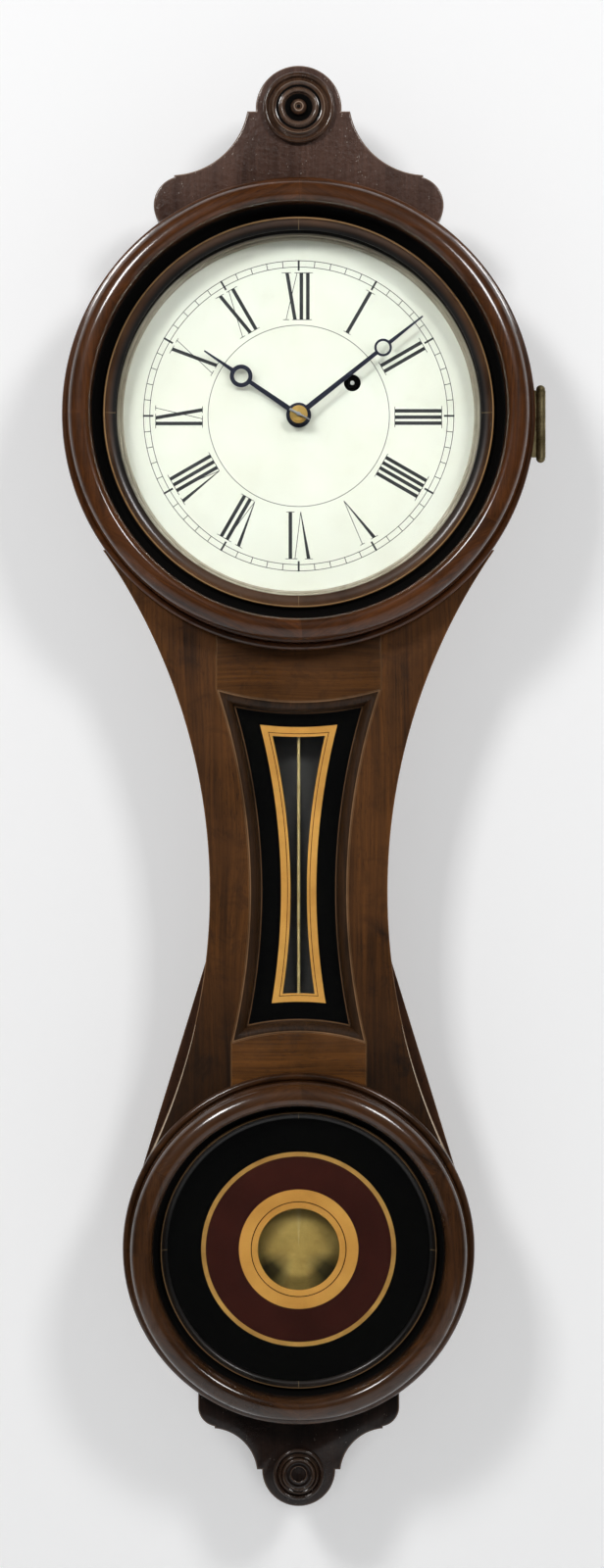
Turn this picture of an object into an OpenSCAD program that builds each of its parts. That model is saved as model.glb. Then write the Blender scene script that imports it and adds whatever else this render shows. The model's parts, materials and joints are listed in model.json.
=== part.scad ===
// Figure-eight wall regulator: a weight-driven, eight-day pendulum clock in a turned walnut case.
// Sizes are millimetres. The row's origin is the hanging hole at the wall, +X right, -Y out to the
// viewer, +Z up. Inside facing() a shape is drawn as it is seen: x right, y up from the centre of
// the dial, z forward from the wall.

/* [Case] */
// Distance from the hanging hole down to the centre of the dial
dial_drop = 112; // [108:1:116]
// Distance from the centre of the dial down to the centre of the lower window
centre_gap = 499.8; // [490:0.2:506]
// Radius of the circle that the waist curves run into at the head
head_r = 143; // [142:0.5:145]
// Radius of the circle that the waist curves run into at the foot
foot_r = 105.3; // [104.4:0.1:107]
// Radius of the hollow curve on each side of the waist
waist_r = 360; // [350:5:375]
// How far the case side stands back from the front's outline
side_inset = 1.5; // [1:0.1:2.5]
// Thickness of the case side
side_t = 9; // [7:0.5:10]
// Depth of the case from the wall to the front of the case side
side_depth = 66; // [66:0.5:70]
// Thickness of the backboard
back_t = 12; // [10:0.5:12]
// Thickness of the front rims, rails and stiles
front_t = 12; // [11:0.5:14]
// Height of the flare's foot above the centre of the lower window
flare_h = 34.3; // [32:0.1:37]

/* [Throat] */
// Width of the stile beside the throat opening
stile_w = 24; // [22:0.5:25]
// Distance from the head circle down to the top edge of the throat opening
throat_head_w = 29; // [25:1:33]
// Distance from the foot circle up to the bottom edge of the throat opening
throat_foot_w = 23.9; // [22:0.1:27]
// Width of the moulding round the throat opening
moulding_w = 7.6; // [6:0.2:9]
// How far the moulding lies behind the front of the panel
moulding_drop = 0.5; // [0.2:0.1:1.5]
// Thickness of every sheet of glass
glass_t = 2; // [1.6:0.1:2.4]

/* [Main door] */
// How far the door's edge stands in from the head circle
door_step = 1.3; // [0.5:0.1:1.8]
// Width of the flange outside the door's big round moulding
door_flange_w = 7; // [6:0.1:8]
// Width of the door's big round moulding
door_roll_w = 13.7; // [12:0.1:14.5]
// Width of the hollow between the big round moulding and the sight opening
door_cove_w = 9.9; // [9:0.1:11]
// Height of the top of the big round moulding in front of the door's back
door_rise = 27.2; // [24:0.2:32]
// Width of the bead ring in front of the main glass
main_bead_w = 4.6; // [3.5:0.1:5.2]

/* [Lower bezel] */
// Width of the flange outside the bezel's round moulding
bezel_flange_w = 5.2; // [4.4:0.1:6]
// Width of the bezel's round moulding
bezel_roll_w = 13.2; // [12:0.1:14]
// Width of the hollow between the round moulding and the lower window
bezel_cove_w = 9.8; // [9:0.1:11]
// Height of the top of the bezel's round moulding in front of its back
bezel_rise = 25.4; // [23:0.2:30]
// Width of the bead ring in front of the lower glass
lower_bead_w = 4.1; // [3:0.1:5]

/* [Dial and hands] */
// Width of the sight ring that shows inside the door's opening
sight_ring_w = 5.6; // [4:0.1:7]
// How far the dial plate runs on under the sight ring
dial_lap = 12.5; // [10:0.5:14]
// Thickness of the dial plate
dial_t = 1.5; // [1:0.1:2]
// Radius of the winding hole in the dial
winding_hole_r = 5.1; // [4.8:0.1:6]
// Length of the minute hand from the centre
minute_len = 95; // [88:0.5:100]
// Length of the hour hand from the centre
hour_len = 68.7; // [62:0.1:74]
// Hour shown at rest
shown_hour = 10; // [0:1:11]
// Minutes past the hour shown at rest
shown_minutes = 8.6; // [0:0.1:59]

/* [Movement] */
// Half the width of the movement plates
plate_half_w = 70; // [68:1:74]
// Thickness of a movement plate
plate_t = 2.5; // [2:0.1:3]
// Distance of the winding arbor to the right of the centre
great_x = 32.3; // [31.6:0.1:33]
// Height of the winding arbor above the centre
great_y = 19.9; // [19.4:0.1:20.4]
// Radius from the drum's axis to the middle of the cable
drum_pitch_r = 8.75; // [8.4:0.05:9]
// Radius of the cable
cable_r = 0.6; // [0.4:0.05:0.7]
// Radius of the escape wheel over its teeth
escape_r = 16; // [15:0.1:17]

/* [Pendulum and weight] */
// Radius of the pendulum bob
bob_r = 45; // [40:0.5:50]
// Thickness of the bob at its middle
bob_t = 20; // [16:0.5:21]
// Radius of the pendulum rod
rod_r = 0.95; // [0.8:0.05:1.2]
// Width of the driving weight
weight_w = 64; // [56:1:70]
// Height of the driving weight
weight_h = 150; // [130:1:155]
// Thickness of the driving weight
weight_t = 25; // [20:0.5:25]

/* [Ornament] */
// Radius of the round top of the crest
crest_r = 25.8; // [24:0.1:28]
// Height of the middle of the crest's round top above the head circle
crest_rise = 41; // [39:0.5:45]
// Radius of the round tip of the pendant
pendant_r = 22; // [20:0.1:24]
// Distance of the middle of the pendant's round tip below the foot circle
pendant_fall = 28.4; // [26:0.1:31]
// Thickness of the crest and of the pendant
ornament_t = 20; // [16:0.5:24]

/* [Hidden] */
$fn = 96;
fine_fn = 24;
over = 0.5;
seat_gap = 0.05;
door_gap = 0.3;
waist_bite = 0.2;
seam_overlap = 0.3;

// Places along the depth, counted forward from the wall
side_front = side_depth;
panel_front = side_front + front_t;
door_back = panel_front + door_gap;
door_front = door_back + door_rise;
bezel_front = door_back + bezel_rise;

// Circles about the centre of the dial, from the head circle inwards
throat_top_r = head_r + throat_head_w;
door_r = head_r - door_step;
door_roll_r = door_r - door_flange_w;
door_sight_r = door_roll_r - door_roll_w - door_cove_w;
dial_sight_r = door_sight_r - sight_ring_w;
dial_r = dial_sight_r + dial_lap;

// Circles about the lower centre, from the foot circle inwards
throat_foot_r = foot_r + throat_foot_w;
bezel_r = foot_r;
bezel_roll_r = bezel_r - bezel_flange_w;
bezel_sight_r = bezel_roll_r - bezel_roll_w - bezel_cove_w;

// The waist curves touch the head circle and the foot circle
waist_y = -(pow(waist_r + head_r, 2) - pow(waist_r + foot_r, 2) + pow(centre_gap, 2)) / (2 * centre_gap);
waist_x = sqrt(pow(waist_r + head_r, 2) - pow(waist_y, 2));
head_run = [waist_x, waist_y] / (waist_r + head_r);
foot_run = [waist_x, waist_y + centre_gap] / (waist_r + foot_r);
flare_top_y = waist_y - 33.6;

// Rims that the door and the bezel close against
rim_out_r = head_r - side_inset - 0.5;
rim_in_r = rim_out_r - 11;
lower_rim_out_r = foot_r - side_inset;
lower_rim_in_r = lower_rim_out_r - 11;
head_side_r = head_r - side_inset;
foot_side_r = foot_r - side_inset;

// Corners of the throat opening, where its side curve meets the top and the bottom curve
function reach(a, b, d) = (a * a - b * b + d * d) / (2 * d);
function meet(c0, r0, c1, r1, side) =
    let (d = norm(c1 - c0), u = (c1 - c0) / d, a = reach(r0, r1, d), h = sqrt(r0 * r0 - a * a))
    c0 + u * a + [-u[1], u[0]] * h * side;
waist_centre = [waist_x, waist_y];
foot_centre = [0, -centre_gap];
function top_corner(t) = meet([0, 0], throat_top_r + t, waist_centre, waist_r + stile_w + t, -1);
function low_corner(t) = meet(foot_centre, throat_foot_r + t, waist_centre, waist_r + stile_w + t, 1);
top_joint_x = top_corner(0)[0];
low_joint_x = low_corner(0)[0];

// Fittings of the case
glass_front_throat = side_front + glass_t;
moulding_fillet = 0.8;
moulding_step = 0.3;
moulding_cuts = 8;
hanger_t = 2.5;
hanger_r = 11;
hanger_half = 9;
nail_r = 4.75;
nail_clear_r = 8.5;
steady_x = 52;
steady_y = -centre_gap - 52;
steady_r = 2.5;
baffle_t = 2;
baffle_top_y = -58;
baffle_low_y = -centre_gap + 30;
dial_seat_t = 6;
dial_seat_lap = 2.5;
rod_way = 13;
dial_hole_r = 4.6;
dial_lip_r = 1.3;
dial_ring_t = 4;
catch_barrel_r = 3.2;
catch_barrel_h = 11;

// Doors
hinge_x = door_r + 3.2;
hinge_y = -6;
hinge_h = 40;
hinge_leaf_w = 15;
hinge_leaf_t = 1.2;
knuckle_r = 3;
hinge_pin_r = 1.4;
knuckles = 5;
knuckle_h = hinge_h / knuckles;
hinge_z = panel_front + door_gap / 2;
glass_back = door_back + 4.2;
glass_front = glass_back + glass_t;
bead_rise = 4.2;
lower_bead_rise = 4;
bead_lap = 1.4;
main_bead_r = door_sight_r + main_bead_w;
lower_bead_r = bezel_sight_r + lower_bead_w;
dowel_r = 2.5;
dowel_turn_r = lower_rim_in_r + 5.5;
dowel_in = 8;
dowel_sink = 3;
catch_r = rim_in_r + 5.5;
catch_ball_r = 2.4;

// Dial
dial_back = side_front;
dial_front = dial_back + dial_t;
dial_ring_r = rim_in_r - 0.5;
minute_turn = shown_minutes * 6;
hour_turn = shown_hour * 30 + shown_minutes / 2;

// Carved ornament
crest_y = head_r + crest_rise;
crest_ledge_w = 5.1;
crest_sweep_r = 46.9;
crest_sweep_w = 46.1;
crest_sweep_up = 7;
crest_wing_in = 2.2;
crest_ledge_drop = 1.6;
crest_lobe_r = 17.6;
crest_lobe_in = 5.3;
crest_lobe_drop = 58;
crest_sweep = [crest_r + crest_ledge_w + crest_sweep_w, crest_y + crest_sweep_up];
crest_wing_x = crest_sweep[0] - crest_wing_in;
crest_lobe = [crest_wing_x - crest_lobe_in, crest_y - crest_lobe_drop];
crest_low_drop = 68;
crest_low_y = crest_y - crest_low_drop;
crest_boss_in = 4.4;
pendant_y = foot_r + pendant_fall;
pendant_ledge_w = 2.8;
pendant_sweep_r = 28.1;
pendant_sweep_w = 28.2;
pendant_sweep_drop = 3.3;
pendant_wing_in = 2.5;
pendant_shoulder_r = 12;
pendant_shoulder_in = 2.1;
pendant_shoulder_rise = 37.7;
pendant_head_rise = 53;
pendant_boss_in = 6.7;
pendant_boss_drop = 2.3;
pendant_sweep = [pendant_r + pendant_ledge_w + pendant_sweep_w, -pendant_y - pendant_sweep_drop];
pendant_wing_x = pendant_sweep[0] - pendant_wing_in;
pendant_shoulder = [pendant_wing_x - pendant_shoulder_in, pendant_shoulder_rise - pendant_y];
pendant_high_y = pendant_head_rise - pendant_y;
ornament_set = 8;
ornament_back = side_front + ornament_set - ornament_t;
ornament_front = side_front + ornament_set;

// Movement: teeth, modules and arbor places
great_teeth = 128;
centre_teeth = 80;
third_teeth = 64;
leaves = 8;
escape_teeth = 30;
great_c = [great_x, great_y];
great_m = 2 * norm(great_c) / (great_teeth + leaves);
third_c = [-16.8, 23.2];
centre_m = 2 * norm(third_c) / (centre_teeth + leaves);
escape_c = [0, 39.5];
third_m = 2 * norm(escape_c - third_c) / (third_teeth + leaves);
swing_c = escape_c + [0, escape_r * sqrt(2)];
cannon_teeth = 12;
minute_wheel_teeth = 36;
minute_pinion_teeth = 10;
hour_wheel_teeth = 40;
motion_span = 14.4;
motion_c = motion_span * [cos(-52), sin(-52)];
cannon_m = 2 * motion_span / (cannon_teeth + minute_wheel_teeth);
hour_m = 2 * motion_span / (minute_pinion_teeth + hour_wheel_teeth);
gear_play = 0.17;

back_plate_z = 14;
back_plate_front = back_plate_z + plate_t;
front_plate_z = 51;
front_plate_front = front_plate_z + plate_t;
plate_top = 76;
plate_foot = -35;
pillar_spots = [for (x = [-1, 1]) for (y = [plate_foot + 7, plate_top - 7]) [x * (plate_half_w - 7), y]];
pillar_r = 4;
mount_spots = [for (x = [-1, 1]) for (y = [plate_foot + 7, plate_top - 7]) [x * (plate_half_w - 20), y]];

centre_wheel_z = 22;
third_wheel_z = 29;
escape_wheel_z = 36;
wheel_t = 1.5;
great_wheel_z = 42.6;
great_wheel_t = 2.4;
ratchet_z = 40;
ratchet_t = 2;
ratchet_r = 11.5;
drum_back = back_plate_front + 1;
minute_wheel_z = 55;
minute_pinion_z = 57.4;
hour_wheel_z = 57.7;
hour_hand_z = 71;
minute_hand_z = 75;
hand_t = 0.9;
hand_root = 3.3;
hand_neck = 2.4;
hand_tip = 0.9;
hour_ring_drop = 26.9;
hour_ring_r = 6.8;
hour_ring_hole_r = 4.3;
hour_boss_r = 7.5;
minute_ring_drop = 30.4;
minute_ring_r = 5.3;
minute_ring_hole_r = 3.9;
minute_boss_r = 6;
hour_pipe_proud = 1.4;
cannon_proud = 1.2;
arbor_r = 1.6;
thin_arbor_r = 1.1;
pivot_r = 0.8;
pivot_play = 0.06;
cannon_r = 2.3;
hour_pipe_r = 3.4;
pipe_play = 0.06;

great_pivot_r = 2.5;
great_arbor_r = 3;
great_web_r = 19.5;
drum_flange_r = 10.5;
ratchet_teeth = 24;
click_spot = [-16.4, -3];
click_stud_r = 1.3;
winding_square = 4.2;
winding_square_z = 58;
collet_r = 5.3;
collet_front = minute_hand_z + 3.4;
crutch_z = 55.8;
crutch_t = 1.2;
crutch_len = 32;
crutch_pin_r = 0.85;
swing_limit = 2.5;

// Cable, pulley and weight
pulley_axle_r = 2;
pulley_pitch_r = great_x - drum_pitch_r;
cable_z = 27;
pulley_y = -66;
pulley_r = pulley_pitch_r + 1.6;
weight_top = pulley_y - 34;
weight_back = cable_z - weight_t / 2;
drum_r = drum_pitch_r - cable_r - seat_gap;
post_y = plate_foot + 9;
baffle_z = weight_back + weight_t + 1.6;

// Pendulum
pendulum_z = 61.6;
bob_y = -centre_gap;
nut_y = bob_y - bob_r;
nut_h = 7;
rod_low = nut_y - nut_h - 6;
keystone_r = 8.6;
rod_top = swing_c[1] - 9;

// Every separate piece

// Stands a shape that is drawn as seen from the front at its place on the wall
module facing() {
    translate([0, 0, -dial_drop])
        rotate([90, 0, 0])
            children();
}

// A flat piece between two depths
module slab(from, to) {
    translate([0, 0, from])
        linear_extrude(height = to - from)
            children();
}

// A rod or a hole along the depth
module post(spot, r, from, to) {
    translate([spot[0], spot[1], from])
        cylinder(r = r, h = to - from);
}

// A rod or a hole that stands upright in the case
module upright(x, y, z, r, h) {
    translate([x, y, z])
        rotate([-90, 0, 0])
            cylinder(r = r, h = h);
}

// A piece turned about the depth axis, from its section (radius, depth)
module turned() {
    rotate_extrude($fn = 180)
        children();
}

module dowel_spots() {
    for (turn = [90, 210, 330])
        rotate([0, 0, turn])
            translate([dowel_turn_r, 0, 0])
                children();
}

module mirrored() {
    children();
    mirror([1, 0, 0])
        children();
}

module box2(x0, x1, y0, y1) {
    translate([x0, y0])
        square([x1 - x0, y1 - y0]);
}

// The figure of eight, drawn in by an amount all round
module throat_block(inset) {
    a = (head_r - inset) * head_run;
    b = foot_centre + (foot_r - inset) * foot_run;
    polygon([[-b[0], b[1]], [b[0], b[1]], [a[0], a[1]], [-a[0], a[1]]]);
}

module waist_circles(grow) {
    for (side = [-1, 1])
        translate([side * waist_x, waist_y])
            circle(r = waist_r + grow + waist_bite, $fn = 360);
}

module figure_eight(inset) {
    circle(r = head_r - inset, $fn = 180);
    translate(foot_centre)
        circle(r = foot_r - inset, $fn = 180);
    difference() {
        throat_block(inset);
        waist_circles(inset);
    }
}

// The case side flares out in a straight line to the foot
module side_outline(inset) {
    all = side_inset + inset;
    top_x = waist_x - sqrt(pow(waist_r + all, 2) - pow(flare_top_y - waist_y, 2)) - seam_overlap;
    low_x = sqrt(pow(foot_r - all, 2) - pow(flare_h, 2)) - seam_overlap;
    low_y = flare_h - centre_gap;
    union() {
        figure_eight(all);
        polygon([[-low_x, low_y], [low_x, low_y], [top_x, flare_top_y], [-top_x, flare_top_y]]);
    }
}

module throat_opening(grow) {
    deep = -grow;
    difference() {
        box2(-top_joint_x - 4, top_joint_x + 4, -centre_gap + foot_r, -head_r);
        for (side = [-1, 1])
            translate([side * waist_x, waist_y])
                circle(r = waist_r + stile_w + deep, $fn = 360);
        circle(r = throat_top_r + deep, $fn = 180);
        translate(foot_centre)
            circle(r = throat_foot_r + deep, $fn = 180);
    }
}

module front_panel() {
    difference() {
        throat_block(0);
        waist_circles(0);
        circle(r = rim_out_r, $fn = 180);
        translate(foot_centre)
            circle(r = lower_rim_out_r, $fn = 180);
        throat_opening(0);
    }
}

module top_rail_area() {
    intersection() {
        box2(-top_joint_x, top_joint_x, -throat_top_r, -throat_top_r / 2);
        circle(r = throat_top_r, $fn = 180);
    }
}

module bottom_rail_area() {
    intersection() {
        box2(-low_joint_x, low_joint_x, -centre_gap + foot_r / 2, -centre_gap + throat_foot_r);
        translate(foot_centre)
            circle(r = throat_foot_r, $fn = 180);
    }
}

// Case

module backboard() color([0.25, 0.15, 0.09]) facing() {
    difference() {
        slab(0, back_t) side_outline(0);
        slab(-over, hanger_t) hanger_outline(seat_gap);
        post([0, dial_drop], nail_clear_r, hanger_t - over, back_t + over);
        for (side = [-1, 1])
            post([side * steady_x, steady_y], steady_r, -over, back_t + over);
    }
}

module case_side(half) color([0.24, 0.14, 0.08]) facing() {
    difference() {
        slab(back_t, side_front) side_outline(0);
        slab(back_t - over, side_front + over) side_outline(side_t);
        slab(back_t - over, side_front + over)
            box2(half > 0 ? -2 * head_r : 0, half > 0 ? 0 : 2 * head_r, -2 * centre_gap, 2 * head_r);
    }
}

module side_left() case_side(-1);

module side_right() case_side(1);

module upper_rim() color([0.27, 0.16, 0.09]) facing() {
    difference() {
        turned() polygon([[rim_in_r, side_front], [rim_out_r, side_front], [rim_out_r, panel_front],
                          [rim_in_r, panel_front]]);
        post([-catch_r, 0], catch_barrel_r + seat_gap, panel_front - catch_barrel_h, panel_front + over);
        hinge_recess(panel_front - hinge_leaf_t, panel_front + over);
    }
}

module lower_rim() color([0.27, 0.16, 0.09]) facing() {
    translate(foot_centre) difference() {
        turned() polygon([[lower_rim_in_r, side_front], [lower_rim_out_r, side_front],
                          [lower_rim_out_r, panel_front], [lower_rim_in_r, panel_front]]);
        dowel_spots() post([0, 0], dowel_r + seat_gap, panel_front - dowel_in - 1, panel_front + over);
    }
}

module stile(half) color([0.28, 0.17, 0.09]) facing() {
    slab(side_front, panel_front) difference() {
        front_panel();
        box2(half > 0 ? -head_r : 0, half > 0 ? 0 : head_r, -centre_gap, 0);
        top_rail_area();
        bottom_rail_area();
    }
}

module stile_left() stile(-1);

module stile_right() stile(1);

module top_rail() color([0.29, 0.18, 0.1]) facing() {
    slab(side_front, panel_front) intersection() {
        front_panel();
        top_rail_area();
    }
}

module bottom_rail() color([0.29, 0.18, 0.1]) facing() {
    slab(side_front, panel_front) intersection() {
        front_panel();
        bottom_rail_area();
    }
}

// The moulding's section, in from its outer edge: a fillet, a quarter round and a foot on the glass
module moulding_section() {
    top = panel_front - moulding_drop;
    round_r = moulding_w - 2 * moulding_fillet;
    middle = top - round_r - moulding_step;
    turn = 90 / moulding_cuts;
    quarter_round = [for (i = [1 : moulding_cuts - 1])
        [moulding_fillet + round_r * cos(i * turn), middle + round_r * sin(i * turn)]];
    polygon(concat(
        [[0, glass_front_throat], [moulding_w, glass_front_throat], [moulding_w, middle + moulding_step]],
        quarter_round, [[moulding_fillet, top], [0, top]]));
}

module moulding_run(centre, r) {
    translate([centre[0], centre[1], 0])
        rotate_extrude($fn = 360)
            translate([r, 0])
                moulding_section();
}

module throat_moulding() color([0.2, 0.12, 0.07]) facing() {
    a = top_corner(0);
    b = top_corner(moulding_w);
    c = low_corner(0);
    d = low_corner(moulding_w);
    low = [-centre_gap + foot_r, -head_r];
    intersection() {
        moulding_run([0, 0], throat_top_r);
        slab(side_front, side_front * 2) polygon([
            [-a[0], a[1]], [-b[0], b[1]], [0, -throat_top_r - moulding_w * 2], [b[0], b[1]], [a[0], a[1]],
            [0, low[1]]]);
    }
    intersection() {
        moulding_run(foot_centre, throat_foot_r);
        slab(side_front, side_front * 2) polygon([
            [-c[0], c[1]], [-d[0], d[1]], [0, throat_foot_r - centre_gap + moulding_w * 2], [d[0], d[1]],
            [c[0], c[1]], [0, low[0]]]);
    }
    mirrored() intersection() {
        moulding_run(waist_centre, waist_r + stile_w);
        slab(side_front, side_front * 2) polygon([a, b, [0, b[1]], [0, d[1]], d, c, [head_r, c[1]],
                                                  [head_r, a[1]]]);
    }
}

module throat_glass() color([0.5, 0.52, 0.55, 0.4]) facing() {
    slab(side_front, glass_front_throat) throat_opening(-seat_gap);
}

module hanger_outline(grow) {
    translate([0, dial_drop]) {
        box2(-hanger_r - grow, hanger_r + grow, -hanger_half, hanger_half);
        for (side = [-1, 1])
            translate([0, side * hanger_half])
                circle(r = hanger_r + grow);
    }
}

module hanger_plate() color([0.55, 0.55, 0.56]) facing() {
    difference() {
        slab(0, hanger_t) hanger_outline(0);
        post([0, dial_drop], nail_r, -over, hanger_t + over);
    }
}

module weight_baffle() color([0.22, 0.23, 0.25]) facing() {
    slab(baffle_z, baffle_z + baffle_t) difference() {
        figure_eight(side_inset + side_t + seat_gap);
        box2(-2 * head_r, 2 * head_r, baffle_top_y, 2 * head_r);
        box2(-2 * head_r, 2 * head_r, -2 * centre_gap, baffle_low_y);
    }
}

module crest_outline() {
    difference() {
        union() {
            translate([0, crest_y])
                circle(r = crest_r);
            difference() {
                box2(-crest_wing_x, crest_wing_x, crest_low_y, crest_y - crest_ledge_drop);
                for (side = [-1, 1])
                    translate([side * crest_sweep[0], crest_sweep[1]])
                        circle(r = crest_sweep_r, $fn = 144);
            }
            for (side = [-1, 1])
                translate([side * crest_lobe[0], crest_lobe[1]])
                    circle(r = crest_lobe_r);
        }
        circle(r = head_side_r, $fn = 180);
    }
}

module pendant_outline() {
    translate(foot_centre) difference() {
        union() {
            translate([0, -pendant_y])
                circle(r = pendant_r);
            difference() {
                box2(-pendant_wing_x, pendant_wing_x, -pendant_y, pendant_high_y);
                for (side = [-1, 1])
                    translate([side * pendant_sweep[0], pendant_sweep[1]])
                        circle(r = pendant_sweep_r, $fn = 144);
            }
            for (side = [-1, 1])
                translate([side * pendant_shoulder[0], pendant_shoulder[1]])
                    circle(r = pendant_shoulder_r);
            box2(-pendant_shoulder[0] - pendant_shoulder_r, pendant_shoulder[0] + pendant_shoulder_r,
                 pendant_shoulder[1], pendant_high_y);
        }
        circle(r = foot_side_r, $fn = 180);
    }
}

module crest() color([0.24, 0.15, 0.13]) facing() slab(ornament_back, ornament_front) crest_outline();

module pendant() color([0.13, 0.08, 0.05]) facing() slab(ornament_back, ornament_front) pendant_outline();

// A turned rosette: a round base, an outer bead, a dished field, a raised ring and a boss
module rosette_section(r, ring_r, boss_r) {
    base = r * 0.13;
    bead = r * 0.07;
    ring = r * 0.055;
    intersection() {
        box2(0, r, 0, r);
        union() {
            box2(0, r - bead, 0, base);
            box2(r - 2 * bead, r, 0, base - bead * 0.2);
            translate([r - bead, base])
                circle(r = bead, $fn = fine_fn);
            box2(0, r * 0.75, 0, base + ring * 0.6);
            box2(ring_r - ring, ring_r + ring, 0, base + ring * 1.6);
            translate([ring_r, base + ring * 1.6])
                circle(r = ring, $fn = fine_fn);
            box2(0, boss_r, 0, base + boss_r * 0.5);
            translate([0, base + boss_r * 0.5])
                intersection() {
                    circle(r = boss_r, $fn = fine_fn);
                    box2(-boss_r, boss_r, -boss_r * 0.5, boss_r * 0.8);
                }
        }
    }
}

module crest_rosette() color([0.26, 0.17, 0.14]) facing() {
    translate([0, crest_y, ornament_front])
        turned() rosette_section(crest_r - crest_boss_in, crest_r * 0.4, crest_r * 0.2);
}

module pendant_rosette() color([0.15, 0.09, 0.06]) facing() {
    translate([0, -centre_gap - pendant_y - pendant_boss_drop, ornament_front]) turned() difference() {
        rosette_section(pendant_r - pendant_boss_in, pendant_r * 0.41, pendant_r * 0.3);
        box2(-over, pendant_r * 0.22, 1, pendant_r);
    }
}

// Dial

// The seat is notched at the bottom for the pendulum rod
module dial_seat() color([0.33, 0.24, 0.15]) facing() {
    difference() {
        turned() box2(dial_sight_r + dial_seat_lap, head_side_r - side_t - seat_gap, dial_back - dial_seat_t,
                      dial_back);
        slab(dial_back - dial_seat_t - over, dial_back + over) box2(-rod_way, rod_way, -head_r, 0);
    }
}

module dial() color([0.93, 0.94, 0.88]) facing() {
    slab(dial_back, dial_front) difference() {
        circle(r = dial_r, $fn = 180);
        circle(r = dial_hole_r, $fn = fine_fn * 2);
        translate(great_c)
            circle(r = winding_hole_r, $fn = fine_fn * 2);
    }
}

// The sight ring round the dial: a rounded lip over a flat board
module dial_ring() color([0.42, 0.38, 0.33]) facing() {
    turned() {
        box2(dial_sight_r + dial_lip_r, dial_ring_r, dial_front, dial_front + dial_ring_t);
        translate([dial_sight_r + dial_lip_r, dial_front + dial_lip_r])
            circle(r = dial_lip_r, $fn = fine_fn);
        box2(dial_r + seat_gap, dial_ring_r, dial_back, dial_front + dial_ring_t);
    }
}

// Doors

// Section of a turned door ring: flange bead, big roll, cove, and the rebate for glass and bead
module door_section(out_r, roll_r, roll_w, sight_r, bead_w, lead_rise, front) {
    roll_in = roll_r - roll_w;
    bead_out = sight_r + bead_w;
    flange = (out_r - roll_r) / 2;
    cove = roll_in - bead_out;
    cove_z = glass_front + lead_rise + 1;
    difference() {
        union() {
            box2(roll_r - over, out_r, door_back, door_back + flange * 0.9);
            translate([out_r - flange, door_back + flange * 0.9])
                circle(r = flange, $fn = fine_fn);
            box2(roll_in, roll_r, door_back, front - roll_w / 2);
            translate([roll_r - roll_w / 2, front - roll_w / 2])
                circle(r = roll_w / 2, $fn = 48);
            box2(bead_out + seat_gap, roll_in + over, door_back, cove_z + cove);
            box2(bead_out - 2 * bead_lap, roll_in + over, door_back, glass_back);
        }
        translate([bead_out + seat_gap, cove_z + cove])
            circle(r = cove - seat_gap, $fn = fine_fn * 2);
        box2(0, 2 * out_r, 0, door_back);
    }
}

// Section of a bead ring: a half round on a square foot, seated on the glass
module bead_section(sight_r, w, rise) {
    box2(sight_r, sight_r + w, glass_front, glass_front + rise - w * 0.45);
    intersection() {
        translate([sight_r + w / 2, glass_front + rise - w * 0.5])
            circle(r = w / 2, $fn = fine_fn);
        box2(sight_r, sight_r + w, glass_front, glass_front + rise);
    }
}

module hinge_recess(from, to) {
    slab(from, to) box2(hinge_x - hinge_leaf_w - seat_gap, hinge_x + knuckle_r,
                        hinge_y - hinge_h / 2 - seat_gap, hinge_y + hinge_h / 2 + seat_gap);
}

module knuckle(index, r) {
    upright(hinge_x, hinge_y - hinge_h / 2 + index * knuckle_h, hinge_z, r, knuckle_h - 0.1);
}

module hinge_leaf(from, first, others) {
    difference() {
        union() {
            slab(from, from + hinge_leaf_t) box2(hinge_x - hinge_leaf_w, hinge_x, hinge_y - hinge_h / 2,
                                                 hinge_y + hinge_h / 2);
            for (index = [first:2:knuckles - 1])
                knuckle(index, knuckle_r);
        }
        for (index = [others:2:knuckles - 1])
            translate([0, -0.1, 0])
                upright(hinge_x, hinge_y - hinge_h / 2 + index * knuckle_h, hinge_z, knuckle_r + 0.15,
                        knuckle_h + 0.1);
        upright(hinge_x, hinge_y - hinge_h / 2 - over, hinge_z, hinge_pin_r + seat_gap, hinge_h + 2 * over);
    }
}

// The case leaf carries the pin and its ball ends
module hinge_leaf_case() color([0.62, 0.52, 0.3]) facing() {
    hinge_leaf(panel_front - hinge_leaf_t, 0, 1);
    upright(hinge_x, hinge_y - hinge_h / 2 - 1, hinge_z, hinge_pin_r, hinge_h + 2);
    for (side = [-1, 1])
        translate([hinge_x, hinge_y + side * (hinge_h / 2 + 0.6), hinge_z])
            sphere(r = knuckle_r * 0.9, $fn = fine_fn);
}

module hinge_leaf_door() color([0.62, 0.52, 0.3]) facing() {
    hinge_leaf(door_back, 1, 0);
}

module main_door() color([0.3, 0.17, 0.09]) facing() {
    difference() {
        turned() door_section(door_r, door_roll_r, door_roll_w, door_sight_r, main_bead_w, bead_rise,
                              door_front);
        hinge_recess(door_back - over, door_back + hinge_leaf_t);
        translate([-catch_r, 0, door_back - catch_ball_r + 0.9])
            sphere(r = catch_ball_r + 0.15, $fn = fine_fn * 2);
    }
}

module main_bead() color([0.4, 0.31, 0.17]) facing() {
    turned() bead_section(door_sight_r, main_bead_w, bead_rise);
}

module main_glass() color([0.8, 0.85, 0.85, 0.3]) facing() {
    post([0, 0], main_bead_r, glass_back, glass_front);
}

module catch_barrel() color([0.7, 0.58, 0.32]) facing() {
    translate([-catch_r, 0, 0]) difference() {
        post([0, 0], catch_barrel_r, panel_front - catch_barrel_h, panel_front);
        post([0, 0], catch_ball_r + seat_gap, panel_front - catch_barrel_h + 1, panel_front + over);
    }
}

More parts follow.
